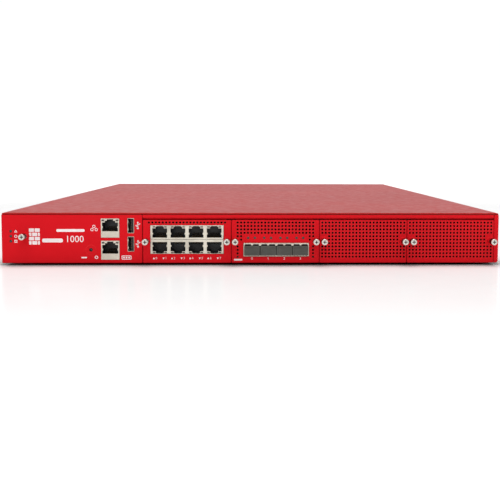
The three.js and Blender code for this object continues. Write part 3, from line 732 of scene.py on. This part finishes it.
def copper_module():
    """Two rows of four jacks in one shield. The lower row is upside down, its notches towards the floor."""
    low, high = case_box("copper_jack_block")
    x = middle_x("copper_jack_block")
    columns = [x + (k - 1.5) * JACK_PITCH for k in range(4)]
    holes = vents(x, 23, 1) + [window("copper_jack_block", 0.25)]
    ink = Shape()
    for k, cx in enumerate(columns):
        for row, side in enumerate((-4.2, 4.2)):
            inked(ink, triangle(cx + side - 1.1, 3.75, 0.95, up=row == 0))
            numbered(ink, str(2 * k + row), cx + side + 1.1, 3.8, 1.9)
    faceplate("copper_faceplate", "copper_module", holes, ink)
    split = (low.z + high.z) / 2
    shield = Shape()
    liner = Shape()
    lamps = Shape()
    wires = Shape()
    for up in (True, False):
        z0, z1 = (split + 0.12, high.z) if up else (low.z, split - 0.12)
        # The mouths' lower edge, and the lamps beyond their notched side.
        base = 22.2 if up else 10.1
        lamp_z = base + 9.35 if up else base - 1.25
        mouths = []
        lamp_holes = []
        for cx in columns:
            mouths.append(mouth(cx, base - 0.1, 12.9, 8.2, ((3.6, 1.5), (2.7, 0.55)), up))
            for at in (cx - 5, cx + 5):
                lamp_holes.append(block(at, lamp_z, 1.15, 0.6, 0.25))
                lamps.prism(block(at, lamp_z, 1.05, 0.5), -0.25, 3)
            contacts(wires, cx, base if up else base + 8.1, up)
            side_springs(shield, cx, 6.45, base + (3.4 if up else 4.7))
        holes = [(h, 0.12) for h in mouths] + [(h, 0.06) for h in lamp_holes]
        shield.plate(rect(low.x, high.x, z0, z1, 0.3, 2), holes, -0.4, -0.05, rim=0.2)
        inner = rect(low.x + 0.4, high.x - 0.4, z0 if up else z0 + 0.4, z1 - 0.4 if up else z1)
        liner.plate(inner, [(h, 0) for h in mouths], 0, 13, rim=0)
    sleeve = rect(low.x, high.x, low.z, high.z)
    shield.plate(sleeve, [(grown(sleeve, -0.35), 0)], -0.05, high.y, rim=0)
    liner.box(low.x + 0.4, high.x - 0.4, 13.1, high.y - 0.2, low.z + 0.4, high.z - 0.4)
    piece("copper_block_shield", shield, "copper_module", SHIELD, ["copper_jack_block"])
    piece("copper_block_insert", liner, "copper_module", SOCKET)
    piece("copper_block_lamps", lamps, "copper_module", LENS)
    piece("copper_block_contacts", wires, "copper_module", GOLD)


def fibre_module():
    low, high = case_box("fibre_cage")
    x = middle_x("fibre_faceplate")
    gone = {(c, r) for c in range(12) for r in range(4, 11)}
    gone -= {(0, 4), (1, 4), (1, 5), (0, 7), (0, 8), (0, 9), (0, 10)}
    lamp_z = 21.8
    plugs = [f"dust_plug_{k + 1}" for k in range(4)]
    centres = [middle_x(plug) for plug in plugs]
    between = [(a + b) / 2 for a, b in zip(centres, centres[1:])]
    lamp_x = [c + side for c in centres for side in (-3.4, 2.5)]
    holes = vents(x, 23, 11, gone) + [window("fibre_cage", 0.25)]
    holes += [(circle(at, lamp_z, 1.2, 16), 0.12) for at in lamp_x]
    ink = inked(Shape(), rect(x - 36.6, x - 29.2, 1.7, 3.2, 0.4, 2))
    for k, cx in enumerate(centres):
        numbered(ink, str(k), cx, 3.5, 2.2)
    faceplate("fibre_faceplate", "fibre_module", holes, ink)
    lamps = Shape()
    for at in lamp_x:
        lamps.turned([(0, -0.12), (0.6, -0.05), (1.08, 0.25), (1.08, 3), (0, 3)], at, lamp_z, 16)
    piece("fibre_lamps", lamps, "fibre_module", LENS)
    cage = Shape()
    outline = rect(low.x, high.x, low.z, high.z, 0.6, 2)
    bay_loops = [rect(cx - 6.7, cx + 6.7, 6.4, 15.8) for cx in centres]
    cage.plate(outline, [(h, 0.1) for h in bay_loops], -0.6, 46.8, rim=0.25)
    cage.box(low.x, high.x, 46.5, 48, low.z, high.z)
    # Sprung fingers curl out of the rim above and below every bay, and rounded tabs hang between the slots.
    for cx in centres:
        for k in range(5):
            at = cx + (k - 2) * 2.7
            cage.wire([(at, -0.4, 5.5), (at, -0.95, 5.9), (at, -1.1, 6.3)], 0.42, 6)
            cage.wire([(at, -0.4, 17.1), (at, -0.95, 16.9), (at, -1.1, 16.6)], 0.42, 6)
        cage.prism([(cx - 1.5, 17), (cx - 0.5, 15.4), (cx + 0.5, 15.4), (cx + 1.5, 17)][::-1], -1.5, -0.7)
    for cx in between:
        cage.prism([(cx - 1.9, 17), (cx - 0.5, 15), (cx + 0.5, 15), (cx + 1.9, 17)][::-1], -1.5, -0.7)
    piece("fibre_cage_shell", cage, "fibre_module", SHIELD, ["fibre_cage"])
    # Painted shadow: dark sheets in the slots above each bay and in the gaps between the plugs.
    shade = Shape()
    for cx in centres:
        for side in (-3.5, 3.5):
            shade.prism(rect(cx + side - 2.6, cx + side + 2.6, 14.2, 16.3, 0.5, 3), -0.72, -0.6)
    for cx in between:
        shade.box(cx - 0.45, cx + 0.45, -0.8, -0.6, 6.2, 15.4)
    piece("fibre_cage_slot_shadows", shade, "fibre_module", PAINTED_SHADOW)
    for plug in plugs:
        dust_plug(plug)


def dust_plug(name):
    """A rubber plug: a ribbed body, and a soft-edged front flange with a shallow dish."""
    low, high = case_box(name)
    plug = Shape().plate(rect(low.x, high.x, low.z, high.z, 0.8, 3), [], -0.7, high.y, rim=0.1)
    x = middle_x(name)
    flange = rect(x - 6.95, x + 6.95, 6.4, 14.9, 0.9, 4)
    dish = rect(x - 5.2, x + 5.2, 8.1, 13.2, 0.6, 4)
    plug.plate(flange, [(dish, 0.35)], -2.6, -0.72, rim=0.5)
    plug.plate(grown(dish, 0.05), [], -2.25, -1.0, rim=0)
    for k in range(3):
        y = 3 + 3.4 * k
        plug.box(low.x - 0.1, high.x + 0.1, y, y + 0.8, low.z - 0.1, high.z + 0.1)
    piece(name + "_rubber", plug, name, RUBBER, [name])


def blank_module(name, body):
    gone = {(c, r) for c in (0, 1) for r in (4, 5, 6)}
    faceplate(name, body, vents(middle_x(name), 25, 11, gone))


# ------------------------------------------------------------------ thumbscrews


# How far in front of the case a thumbscrew's cap stands, as a depth.
KNOB_TIP = -13.0


def cross(radius, half):
    """The outline of a cross-head recess."""
    loop = []
    for c, s in ((1, 0), (0, 1), (-1, 0), (0, -1)):
        loop += [(c * a - s * b, s * a + c * b) for a, b in ((radius, -half), (radius, half), (half, half))]
    return loop


def thumbscrew_head():
    """The bright cap of a thumbscrew with its cross-head recess, drawn round the screw's own axis."""
    recess = [(cross(1.5, 0.36), 0.08)]
    return Shape().plate(circle(0, 0, 2.7, 40), recess, KNOB_TIP, KNOB_TIP + 1.3, rim=0.4)


def thumbscrew_barrel():
    """The knurled knob and the plain shank that runs back through its ferrule."""
    radii = [(0, KNOB_TIP + 1.2), (2.3, KNOB_TIP + 1.2), (2.4, KNOB_TIP + 1.5), (2.5, KNOB_TIP + 1.9),
             (2.5, KNOB_TIP + 6.6), (2.4, KNOB_TIP + 7.0), (1.5, KNOB_TIP + 7.1), (1.5, 8), (0, 8)]
    ridge = [0, 0, 0, 0.16, 0.16, 0, 0, 0, 0]
    return Shape().turned(radii, 0, 0, 44, ridge)


def thumbscrews():
    """Nine thumbscrews from one pair of meshes, and the control panel's ferrule."""
    screws = [("thumbscrew_panel", "panel_screw", PANEL_SCREW_X, PANEL_SCREW_Z)]
    plates = {"copper": "copper_faceplate", "fibre": "fibre_faceplate", "blank_left": "blank_panel_left",
              "blank_right": "blank_panel_right"}
    for module, plate in plates.items():
        for side, reach in (("l", -SCREW_REACH), ("r", SCREW_REACH)):
            name = f"{module}_{side}"
            screws.append(("thumbscrew_" + name, "screw_" + name, middle_x(plate) + reach, SCREW_Z))
    head = barrel = None
    for node, body, x, z in screws:
        at = (x, 0, z)
        if head is None:
            head = piece(node + "_head", thumbscrew_head(), body, NICKEL, at=at)
            barrel = piece(node + "_barrel", thumbscrew_barrel(), body, DARK_NICKEL_AND_SHADE,
                           [node], at=at)
        else:
            copy_of(head, node + "_head", body, [], at)
            copy_of(barrel, node + "_barrel", body, [node], at)
    collar = Shape().turned(FERRULE, PANEL_SCREW_X, PANEL_SCREW_Z, 28)
    piece("panel_ferrule", collar, "chassis", RED)


# ------------------------------------------------------------------ case


def dress(node, material, bevel=0.0):
    """A CAD node that keeps its shape: its material, joined vertices and rounded edges."""
    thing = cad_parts[node]
    thing.data.materials.clear()
    thing.data.materials.append(material)
    weld = thing.modifiers.new("joined", "WELD")
    weld.merge_threshold = 1e-6
    if bevel:
        soften(thing, bevel)
    return thing


def end_post():
    """The folded post at the right-hand end, its lower outer corner turned in a wide curve."""
    low, high = case_box("bay_end_post")
    toe = 2.4
    upper_corners = rect(low.x, high.x, LOWER_EDGE, high.z, CORNER, 3)[8:]
    outline = [(low.x, LOWER_EDGE)]
    for k in range(7):
        a = k * pi / 12
        outline.append((high.x - toe + toe * sin(a), LOWER_EDGE + toe - toe * cos(a)))
    post = Shape().plate(outline + upper_corners, [], 0, SHEET, rim=RIM)
    post.box(low.x, low.x + FOLD, SHEET - 0.1, 12, 1.6, high.z)
    piece("end_post", post, "chassis", RED, ["bay_end_post"])


def side_fittings():
    """Flat screws that hold the cover's flanges, and tapped holes for rack ears in the walls below."""
    ear_places = [(y, z) for y in (18, 42, 66) for z in (9, 23)]
    for side, wall in (("left", -1), ("right", 1)):
        screws = Shape()
        for y in (62, 226, 390, 548):
            screws.plate(circle(y, 38, 2.9, 28), [(cross(1.6, 0.4), 0)], -0.3, 0.2, rim=0.25)
        place_on_wall(screws, wall)
        piece(f"cover_screws_{side}", screws, "cover", NICKEL)
        bushes = Shape()
        # A dark disc inside each bush stands for the depth of its hole: painted shadow.
        holes = Shape()
        for y, z in ear_places:
            bushes.plate(circle(y, z, 2.8, 28), [(circle(y, z, 1.6, 20), 0.2)], -0.25, 0.2, rim=0.2)
            holes.prism(circle(y, z, 1.65, 20), -0.05, 0.1)
        place_on_wall(bushes, wall)
        place_on_wall(holes, wall)
        piece(f"ear_bushes_{side}", bushes, "chassis", NICKEL)
        piece(f"ear_hole_shadows_{side}", holes, "chassis", PAINTED_SHADOW)


def place_on_wall(shape, wall):
    """Turns a shape drawn on the front face onto the left (-1) or right (1) wall, its x running back."""
    outer = case_box("chassis_tray")[1].x
    shape.verts = [(wall * (outer - depth), along, z) for along, depth, z in shape.verts]


def feet():
    for node in ("foot_front_left", "foot_rear_left", "foot_front_right", "foot_rear_right"):
        low, high = case_box(node)
        y = (low.y + high.y) / 2
        rings = []
        for radius, z in ((6.3, 0), (7, -0.3), (6.9, -1.4), (6.2, -2), (3.2, -2), (3.0, -1.6), (0.02, -1.6)):
            rings.append([(px, py, z) for px, py in circle(middle_x(node), y, radius, 32)])
        piece(node + "_pad", Shape().rings(rings), "chassis", FOOT, [node])


# ------------------------------------------------------------------ rear


REAR = 580
FAN_X = (-36, 10, 56, 102)
FAN_Z = 21.6
SWITCH_X, SWITCH_Z, SWITCH_PIVOT = 152, 22, 575.5
PSU_FAN_X, PSU_FAN_Z, PSU_BORE = 13.5, 21.75, 18.2
INLET_X, INLET_DEEP = -22.9, 16
PULL_X = -7.5


def wire_guard(shape, x, z, reach, y, corner):
    """A finger guard: rings on four spokes that end in eyes under screws."""
    for k in range(1, 5):
        ring = circle(x, z, reach * k / 4 - 0.4, 32)
        shape.wire([(px, y, pz) for px, pz in ring], 0.5, 6, closed=True)
    for sx in (-1, 1):
        for sz in (-1, 1):
            start = (x + sx * 2.2, y - 0.7, z + sz * 2.2)
            bend = (x + sx * reach * 0.68, y - 0.7, z + sz * reach * 0.68)
            shape.wire([start, bend, (x + sx * corner, y - 1.0, z + sz * corner)], 0.55, 6)
            screw_head(shape, x + sx * corner, z + sz * corner, y - 1.1)


def screw_head(shape, x, z, y, radius=2.3, height=1.4):
    """A domed cross-head screw that faces the rear."""
    profile = [(0, y), (radius, y), (radius, y + height * 0.4), (radius * 0.8, y + height * 0.85),
               (radius * 0.45, y + height), (0, y + height)]
    shape.turned(profile, x, z, 20)


def rotor_shape(hub, tip, y0, y1, blades=7):
    """A fan rotor round its own axis: a domed hub and swept, twisted blades."""
    shape = Shape().turned([(0, y1), (hub - 1.4, y1), (hub, y1 - 0.9), (hub, y0), (0, y0)], 0, 0, 40)
    stations = 6
    chord = 6
    for b in range(blades):
        rings = []
        for s in range(stations):
            t = s / (stations - 1)
            radius = hub - 0.6 + (tip - hub + 0.6) * t
            start = 2 * pi * b / blades + 0.42 * t * t
            spread = 0.74 - 0.16 * t
            outline = []
            for side in (1, -1):
                steps = range(chord + 1) if side > 0 else range(chord, -1, -1)
                for k in steps:
                    u = k / chord
                    half = side * 0.42 * (4 * u * (1 - u)) ** 0.5 + side * 0.08
                    angle = start + spread * (u + 0.16 * sin(pi * u))
                    y = y0 + 1 + (y1 - y0 - 2) * u
                    outline.append((radius * cos(angle), y + half, radius * sin(angle)))
            rings.append(outline)
        shape.rings(rings)
    return shape


def rotors():
    first = None
    for k in range(1, 5):
        node = f"fan_rotor_{k}"
        low, high = case_box(node)
        at = (middle_x(node), (low.y + high.y) / 2, FAN_Z)
        if first is None:
            half = (high.y - low.y) / 2
            blades = rotor_shape(11.5, 18, -half, half)
            first = piece(node + "_blades", blades, "fan_1", BLACK, [node], at=at)
        else:
            copy_of(first, node + "_blades", f"fan_{k}", [node], at)
    for side in ("outer", "inner"):
        node = f"psu_fan_rotor_{side}"
        low, high = case_box(node)
        half = (high.y - low.y) / 2
        at = (middle_x(f"psu_case_{side}") + PSU_FAN_X, (low.y + high.y) / 2, PSU_FAN_Z)
        blades = rotor_shape(9.5, 17.3, -half, half)
        piece(node + "_blades", blades, f"psu_fan_{side}", BLACK, [node], at=at)


def rear_panel():
    low, high = case_box("rear_panel")
    holes = [(circle(x, FAN_Z, 18.6, 40), 0.2) for x in FAN_X]
    switch = block(SWITCH_X, SWITCH_Z, 6.5, 9.9, 0.6, 2)
    holes.append((switch, 0.1))
    for column in range(9):
        for row in range(9):
            holes.append(vent(175 + column * 4, 7 + row * 3.6, 1.2))
    panel = Shape().plate(rect(low.x, high.x, low.z, high.z, 0.6, 2), holes, REAR, REAR - SHEET, rim=0.5)
    panel.box(low.x, low.x + FOLD, 395, REAR - FOLD, low.z, high.z)
    piece("rear_panel_face", panel, "chassis", RED, ["rear_panel"])
    guards = Shape()
    for x in FAN_X:
        wire_guard(guards, x, FAN_Z, 17.2, REAR + 1.6, 16)
    for x, z in ((128, 8), (128, 36), (172, 40), (211, 40)):
        screw_head(guards, x, z, REAR - 0.1)
    piece("rear_guards", guards, "chassis", NICKEL)
    bezel = Shape().plate(grown(switch, 1.8), [(grown(switch, -0.1), 0.4)], REAR + 1.3, REAR, rim=0.5)
    bezel.plate(grown(switch, -0.1), [(grown(switch, -0.45), 0)], REAR, REAR - 8, rim=0)
    piece("switch_bezel", bezel, "chassis", BLACK)


def power_switch():
    """A rocker tipped to off, with a bar at its on end and a ring at its off end."""
    tilt = radians(12)

    def tipped(y, z):
        return SWITCH_PIVOT + y * cos(tilt) - z * sin(tilt), SWITCH_Z + y * sin(tilt) + z * cos(tilt)

    half_high, back, end, middle = 8.4, -6, 5.5, 3.8
    dish = [(end - (end - middle) * (1 - (k / 8) ** 2), k / 8 * half_high) for k in range(-8, 9)]
    loop = [tipped(back, -half_high)] + [tipped(y, z) for y, z in dish] + [tipped(back, half_high)]
    rocker = Shape().prism_x(loop, SWITCH_X - 6, SWITCH_X + 6)
    piece("power_rocker", rocker, "power_switch", BLACK, ["power_switch"], bevel=0.3)
    marks = Shape()
    y, z = tipped(5.02, 5.6)
    lean = (-sin(tilt) - 0.24) * 0.5
    ring = [(px, y + lean * (pz - z) + 0.1, pz) for px, pz in circle(SWITCH_X, z, 1.5, 20)]
    marks.wire(ring, 0.2, 6, closed=True)
    y, z = tipped(5.02, -5.6)
    marks.box(SWITCH_X - 0.25, SWITCH_X + 0.25, y - 0.5, y + 0.25, z - 1.5, z + 1.5)
    piece("rocker_marks", marks, "power_switch", INK)


def power_supply(side):
    body = f"psu_{side}"
    node = f"psu_case_{side}"
    low, high = case_box(node)
    x = middle_x(node)
    fan_x, inlet_x, inlet_z = x + PSU_FAN_X, x + INLET_X, PSU_FAN_Z
    outline = rect(low.x, high.x, low.z, high.z, 0.8, 3)
    bore = circle(fan_x, PSU_FAN_Z, PSU_BORE, 40)
    socket = block(inlet_x, inlet_z, 12.6, 8.6, 1, 3)
    slot = rect(x + 32.6, high.x - 0.35, PSU_FAN_Z - 7.6, PSU_FAN_Z + 7.6)
    air = [(block(inlet_x - 3.1 + 3.2 * k, 36, 0.7, 2.6, 0.65, 3), 0) for k in range(5)]
    hollow = rect(low.x + 1.2, high.x - 1.2, low.z + 1.2, high.z - 1.2)
    shell = Shape().plate(outline, [(hollow, 0)], low.y, REAR - 1, rim=0)
    shell.plate(outline, [(bore, 0.3), (socket, 0.1), (slot, 0)] + air, REAR, REAR - FOLD, rim=0.4)
    blade_hole = block(x, 19, 28.5, 6.5, 0.6, 2)
    shell.plate(grown(hollow, 0.3), [(blade_hole, 0.2)], low.y + 0.2, low.y + 1.4, rim=0)
    piece(node + "_shell", shell, body, ZINC, [node])
    guard = Shape()
    wire_guard(guard, fan_x, PSU_FAN_Z, 16.6, REAR + 1.4, 15)
    piece(node + "_guard", guard, body, NICKEL)
    supply_plastics(node, body, x, bore, socket)
    metal = Shape()
    for dx, dz in ((-7, -2), (7, -2), (0, 3)):
        pin = block(inlet_x + dx, inlet_z + dz, 1, 2, 0.3, 2)
        metal.plate(pin, [], REAR - 2, REAR - INLET_DEEP - 0.5, rim=0.3)
    for k in range(14):
        metal.box(x - 25.5 + k * 3.8, x - 24 + k * 3.8, low.y - 0.5, low.y + 8, 24.7, 24.95)
    piece(node + "_pins", metal, body, GOLD)
    handle(node, body, x + PULL_X)
    dome = [(0, -1), (1.4, -1), (1.4, 0.2), (0.9, 0.8), (0, 0.9)]
    lamp = Shape().turned([(r, REAR + out) for r, out in dome], x - 30, 36.2, 20)
    piece(node + "_lamp", lamp, body, LENS)
    latch(f"psu_latch_{side}")


def supply_plastics(node, body, x, bore, socket):
    """The fan's frame and spider, the inlet, and the blade that plugs into the power board."""
    low, high = case_box(node)
    fan_x, inlet_x, inlet_z = x + PSU_FAN_X, x + INLET_X, PSU_FAN_Z
    fan_frame = rect(fan_x - 19.6, fan_x + 17.7, low.z + 1.4, high.z - 1.4)
    black = Shape().plate(fan_frame, [(bore, 0)], REAR - 32, REAR - 1.3, rim=0)
    spokes = [block(fan_x, PSU_FAN_Z, dx, dz) for dx, dz in ((18.3, 1), (1, 18.3))]
    for part in [circle(fan_x, PSU_FAN_Z, 9, 32)] + spokes:
        black.prism(part, REAR - 8, REAR - 5)
    across, up, cut = 11.6, 7.6, 3.2
    corners = [(-across, -up), (across, -up), (across, up - cut), (across - cut, up), (cut - across, up),
               (-across, up - cut)]
    cavity = [(inlet_x + a, inlet_z + b) for a, b in corners]
    floor = REAR - INLET_DEEP
    black.plate(grown(socket, 1.4), [(cavity, 0.5)], REAR + 0.9, REAR - 0.1, rim=0.5)
    black.plate(grown(socket, -0.1), [(cavity, 0)], REAR, floor, rim=0)
    black.prism(grown(socket, -0.1), floor - 1.2, floor + 0.1)
    black.box(x - 27.5, x + 27.5, low.y - 0.4, low.y + 12, 13.2, 24.8)
    piece(node + "_plastics", black, body, BLACK)


def latch(tab):
    """A supply's release tab, with four ridges for the thumb."""
    low, high = case_box(tab)
    z0, z1 = low.z, high.z
    lever = [(low.y, z0 + 1), (REAR + 2, z0), (high.y - 2, z0), (high.y, z0 + 2), (high.y, z1 - 2),
             (high.y - 2, z1), (REAR + 2, z1), (low.y, z1 - 1)]
    shape = Shape().prism_x(lever, low.x, high.x)
    for k in range(4):
        y = REAR + 4.2 + 1.8 * k
        shape.box(low.x - 0.35, low.x + 0.1, y, y + 0.8, z0 + 1.8, z1 - 1.8)
    piece(tab + "_lever", shape, tab, LATCH, [tab], bevel=0.25)


def handle(node, body, x):
    """The pull handle: a flat steel strap bent into a loop."""
    bottom, top = 8, 35.6
    bend = [(-1, top), (14, top), (17.6, 34.8), (19.3, 32.8), (20, 30), (20, 13.6), (19.3, 10.6), (17.6, 8.8),
            (14, bottom), (-1, bottom)]
    path = [(REAR + out, z) for out, z in bend]
    half = 0.95
    section = [(-1.8, 1), (1.8, 1), (2.1, 0.6), (2.1, -0.6), (1.8, -1), (-1.8, -1), (-2.1, -0.6), (-2.1, 0.6)]
    rings = []
    for i, (y, z) in enumerate(path):
        ay, az = path[max(i - 1, 0)]
        by, bz = path[min(i + 1, len(path) - 1)]
        along = Vector((by - ay, bz - az)).normalized() * half
        rings.append([(x + across, y + along.y * n, z - along.x * n) for across, n in section])
    strap = Shape().rings(rings)
    stud = [(0, -0.5), (3.2, -0.5), (3.2, 0.4), (2.6, 0.9), (0, 0.9)]
    for z in (bottom, top):
        strap.turned([(r, REAR + rise) for r, rise in stud], x, z, 24)
    piece(node + "_handle", strap, body, BLACK)


# ------------------------------------------------------------------ inside


def chip(shape, x, y, wide, deep, high, top):
    shape.prism_z(block(x, y, wide / 2, deep / 2, min(wide, deep) * 0.06), top, top + high)


def can(shape, x, y, radius, high, top):
    """An upright capacitor with a rolled edge."""
    profile = [(radius, 0), (radius, high - 0.6), (radius * 0.86, high), (radius * 0.7, high - 0.25),
               (0.02, high - 0.3)]
    shape.rings([[(px, py, top + z) for px, py in circle(x, y, r, 16)] for r, z in profile])


def board_parts(name, body, chips, cans, top):
    black = Shape()
    for x, y, wide, deep, high in chips:
        chip(black, x, y, wide, deep, high, top)
    piece(name + "_chips", black, body, CHIP)
    metal = Shape()
    for x, y, radius, high in cans:
        can(metal, x, y, radius, high, top)
    piece(name + "_cans", metal, body, ALUMINIUM)


def interior():
    for node in ("motherboard", "riser_board", "control_board", "power_board", "copper_board", "fibre_board",
                 "memory_module_left", "memory_module_right"):
        dress(node, GREEN, 0.15)
    for node in ("cpu_heatsink_left", "cpu_heatsink_right"):
        dress(node, ALUMINIUM, 0.15)
    dress("storage_drive", ALUMINIUM, 0.8)
    # The guide frame is coloured near black for the dark seams between faceplates: painted shade.
    dress("bay_guide_frame", GUIDE_PAINTED_SHADE, 0.15)
    dress("fan_tray", BLACK, 0.3)
    top = case_box("motherboard")[1].z
    chips = [(x, y, 14, 14, 1.4) for x in (-190, -165, -140) for y in (205, 232, 259)]
    chips += [(60, 360, 34, 34, 2.2), (150, 380, 26, 26, 2), (-20, 380, 18, 12, 1.4), (185, 300, 12, 30, 9)]
    chips += [(x, 478, 24, 8, 10) for x in (-30, 16, 62, 108)]
    chips += [(x, 345, 8, 8, 6) for x in (-110, -98, -86, -74, 70, 82, 94, 106, 118, 130)]
    cans = [(x, 332, 3.4, 9) for x in (-118, -20, 48, 152)]
    cans += [(x, 225, 3.4, 9) for x in (-104, -92, -80, -48, -36, 66, 78, 122, 134)]
    cans += [(190, y, 5, 16) for y in (400, 414, 428, 442)]
    board_parts("motherboard", "chassis", chips, cans, top)
    memory = Shape()
    for node in ("memory_module_left", "memory_module_right"):
        low, high = case_box(node)
        x = middle_x(node)
        for k in range(9):
            y = low.y + 14 + k * 14
            memory.box(x - 2.9, x + 2.9, y - 5, y + 5, 17, 31)
        memory.box(low.x - 0.1, high.x + 0.1, low.y - 2, low.y + 4.5, top + 0.2, 20)
        memory.box(low.x - 0.1, high.x + 0.1, high.y - 4.5, high.y + 2, top + 0.2, 20)
    piece("memory_chips", memory, "chassis", CHIP, bevel=0.2)
    x = middle_x("copper_board")
    top = case_box("copper_jack_block")[0].z - 0.3
    chips = [(x + dx, 36, 14, 11, 7) for dx in (-26, -9, 9, 26)]
    chips += [(x - 15, 60, 31, 31, 4.4), (x + 18, 90, 23, 23, 3.4), (x - 18, 120, 12, 12, 1.4)]
    chips.append((x + 10, 130, 8, 14, 1.4))
    cans = [(x + 30, y, 2.6, 6) for y in (60, 68, 120, 128)]
    board_parts("copper_board", "copper_module", chips, cans, top)
    x = middle_x("fibre_board")
    top = case_box("fibre_cage")[0].z - 0.3
    chips = [(x, 95, 35, 35, 9.3), (x - 24, 66, 8, 8, 1.4), (x + 24, 66, 8, 8, 1.4), (x, 140, 16, 10, 1.6)]
    cans = [(x + dx, 125, 2.6, 6) for dx in (-30, -23, 23, 30)]
    board_parts("fibre_board", "fibre_module", chips, cans, top)
    ribbon()


def ribbon():
    """Twenty conductors side by side, from the control board back to the main board."""
    low, high = case_box("control_ribbon")
    wires = Shape()
    count = 20
    for k in range(count):
        x = low.x + (k + 0.5) * (high.x - low.x) / count
        points = []
        for step in range(13):
            t = step / 12
            y = low.y * (1 - t) ** 3 + 90 * 3 * t * (1 - t) ** 2 + 110 * 3 * t * t * (1 - t) + high.y * t ** 3
            z = 14.5 * ((1 - t) ** 3 + 3 * t * (1 - t) ** 2) + 9.5 * (3 * t * t * (1 - t) + t ** 3)
            points.append((x, y, z))
        wires.wire(points, 0.52, 6)
    piece("control_ribbon_wires", wires, "chassis", RIBBON, ["control_ribbon"])
    ends = Shape().box(low.x - 1.5, high.x + 1.5, low.y, low.y + 5, 11, 18)
    ends.box(low.x - 1.5, high.x + 1.5, high.y - 6, high.y + 1, 7.4, 12)
    piece("control_ribbon_plugs", ends, "chassis", BLACK, bevel=0.3)


def reset_button():
    tip = [(0, 0.75), (0.6, 0.8), (1.25, 1.1), (1.3, 2)]
    collar_and_stem = [(2.4, 2), (2.4, 3), (1.3, 3), (1.3, 16.6), (0, 16.6)]
    profile = tip + collar_and_stem
    plunger = Shape().turned(profile, RESET_X, RESET_Z, 24)
    piece("reset_plunger", plunger, "reset_button", DARK_LENS, ["reset_button"])


# ------------------------------------------------------------------ studio


def floor_material():
    s = Surface("studio_floor", roughness=0.16, specular=0.012)
    # Painted contact shadow: the floor turns near black where the occlusion node finds the case close above
    # it.
    contact = s.node("ShaderNodeAmbientOcclusion", {"Distance": 20 * MM}, samples=8)
    pale = s.mixed(s.noise(2, 2), "fbfbfb", "f7f7f7")
    s.colour(s.mixed(s.ranged(contact.outputs["AO"], 0, 1, 0.42, 0.92), "040404", pale))
    # The floor glows a little away from the case, so that it runs into the background without a line.
    reach = s.node("ShaderNodeVectorMath", operation="LENGTH")
    s.link(s.place, reach.inputs[0])
    s.shader.inputs["Emission Color"].default_value = (1, 1, 1, 1)
    s.link(s.ranged(reach.outputs["Value"], 0, 0.6, 0.6, 1.8), s.shader.inputs["Emission Strength"])
    return s.rough(s.ranged(s.noise(60, 2), 0.15, 0.19)).material


def studio():
    bpy.ops.mesh.primitive_plane_add(size=60, location=(0, 0, 0))
    floor = bpy.context.object
    floor.name = "studio_floor"
    floor.data.materials.append(floor_material())
    world = bpy.data.worlds.new("studio")
    bpy.context.scene.world = world
    world.use_nodes = True
    tree = world.node_tree
    # White all round the horizon, dimmer overhead.
    height = tree.nodes.new("ShaderNodeSeparateXYZ")
    tree.links.new(tree.nodes.new("ShaderNodeTexCoord").outputs["Generated"], height.inputs["Vector"])
    fade = tree.nodes.new("ShaderNodeMapRange")
    for key, value in {"From Min": 0.3, "From Max": 0.5, "To Min": 1.02, "To Max": 0.35}.items():
        fade.inputs[key].default_value = value
    tree.links.new(height.outputs["Z"], fade.inputs["Value"])
    tree.links.new(fade.outputs["Result"], tree.nodes["Background"].inputs["Strength"])
    tree.nodes["Background"].inputs["Color"].default_value = (1, 1, 1, 1)
    add_light("key", (0, 0.1, 2.2), (0, 0, 0), 1.6, 23)
    add_light("front fill", (0.1, -1.9, 1.9), (0, 0, 0.02), 1.8, 25)


def add_light(name, place, aim, size, power):
    lamp = bpy.data.lights.new(name, "AREA")
    lamp.shape = "SQUARE"
    lamp.size = size
    lamp.energy = power
    holder = bpy.data.objects.new(name, lamp)
    holder.location = place
    holder.rotation_euler = (Vector(aim) - Vector(place)).to_track_quat("-Z", "Y").to_euler()
    bpy.context.scene.collection.objects.link(holder)


def camera():
    """A short telephoto just above the front edge, looking four degrees down."""
    eye = (-0.9, -658.8, 98.3)
    pitch, yaw, roll = radians(4), radians(1.64), radians(0.18)
    forward = Vector((sin(yaw) * cos(pitch), cos(yaw) * cos(pitch), -sin(pitch)))
    level = Vector((cos(yaw), -sin(yaw), 0))
    upright = level.cross(forward)
    right = level * cos(roll) + upright * sin(roll)
    up = right.cross(forward)
    data = bpy.data.cameras.new("camera")
    data.lens = 54.08
    data.sensor_width = 36
    data.shift_x = -0.0456
    data.shift_y = -0.0929
    holder = bpy.data.objects.new("camera", data)
    turn = Matrix((right, up, -forward)).transposed()
    holder.matrix_world = Matrix.Translation(CASE_ORIGIN + Vector(eye) * MM) @ turn.to_4x4()
    bpy.context.scene.collection.objects.link(holder)
    bpy.context.scene.camera = holder


# ------------------------------------------------------------------ everything

camera()
studio()
control_panel()
status_lights()
panel_print()
single_jack("management_jack", 27.7)
single_jack("console_jack", 8.0)
usb_port("usb_port_upper")
usb_port("usb_port_lower")
copper_module()
fibre_module()
blank_module("blank_panel_left", "blank_left_module")
blank_module("blank_panel_right", "blank_right_module")
thumbscrews()
end_post()
feet()
side_fittings()
# The cover and the tray wear the darker copy of the red: painted shade.
dress("top_cover", RED_COVER_SHADED, 0.5)
dress("chassis_tray", RED_COVER_SHADED, 0.4)
dress("bay_lintel", RED, 0.5)
rear_panel()
power_switch()
power_supply("outer")
power_supply("inner")
rotors()
reset_button()
interior()

bpy.context.scene.view_settings.view_transform = "Standard"
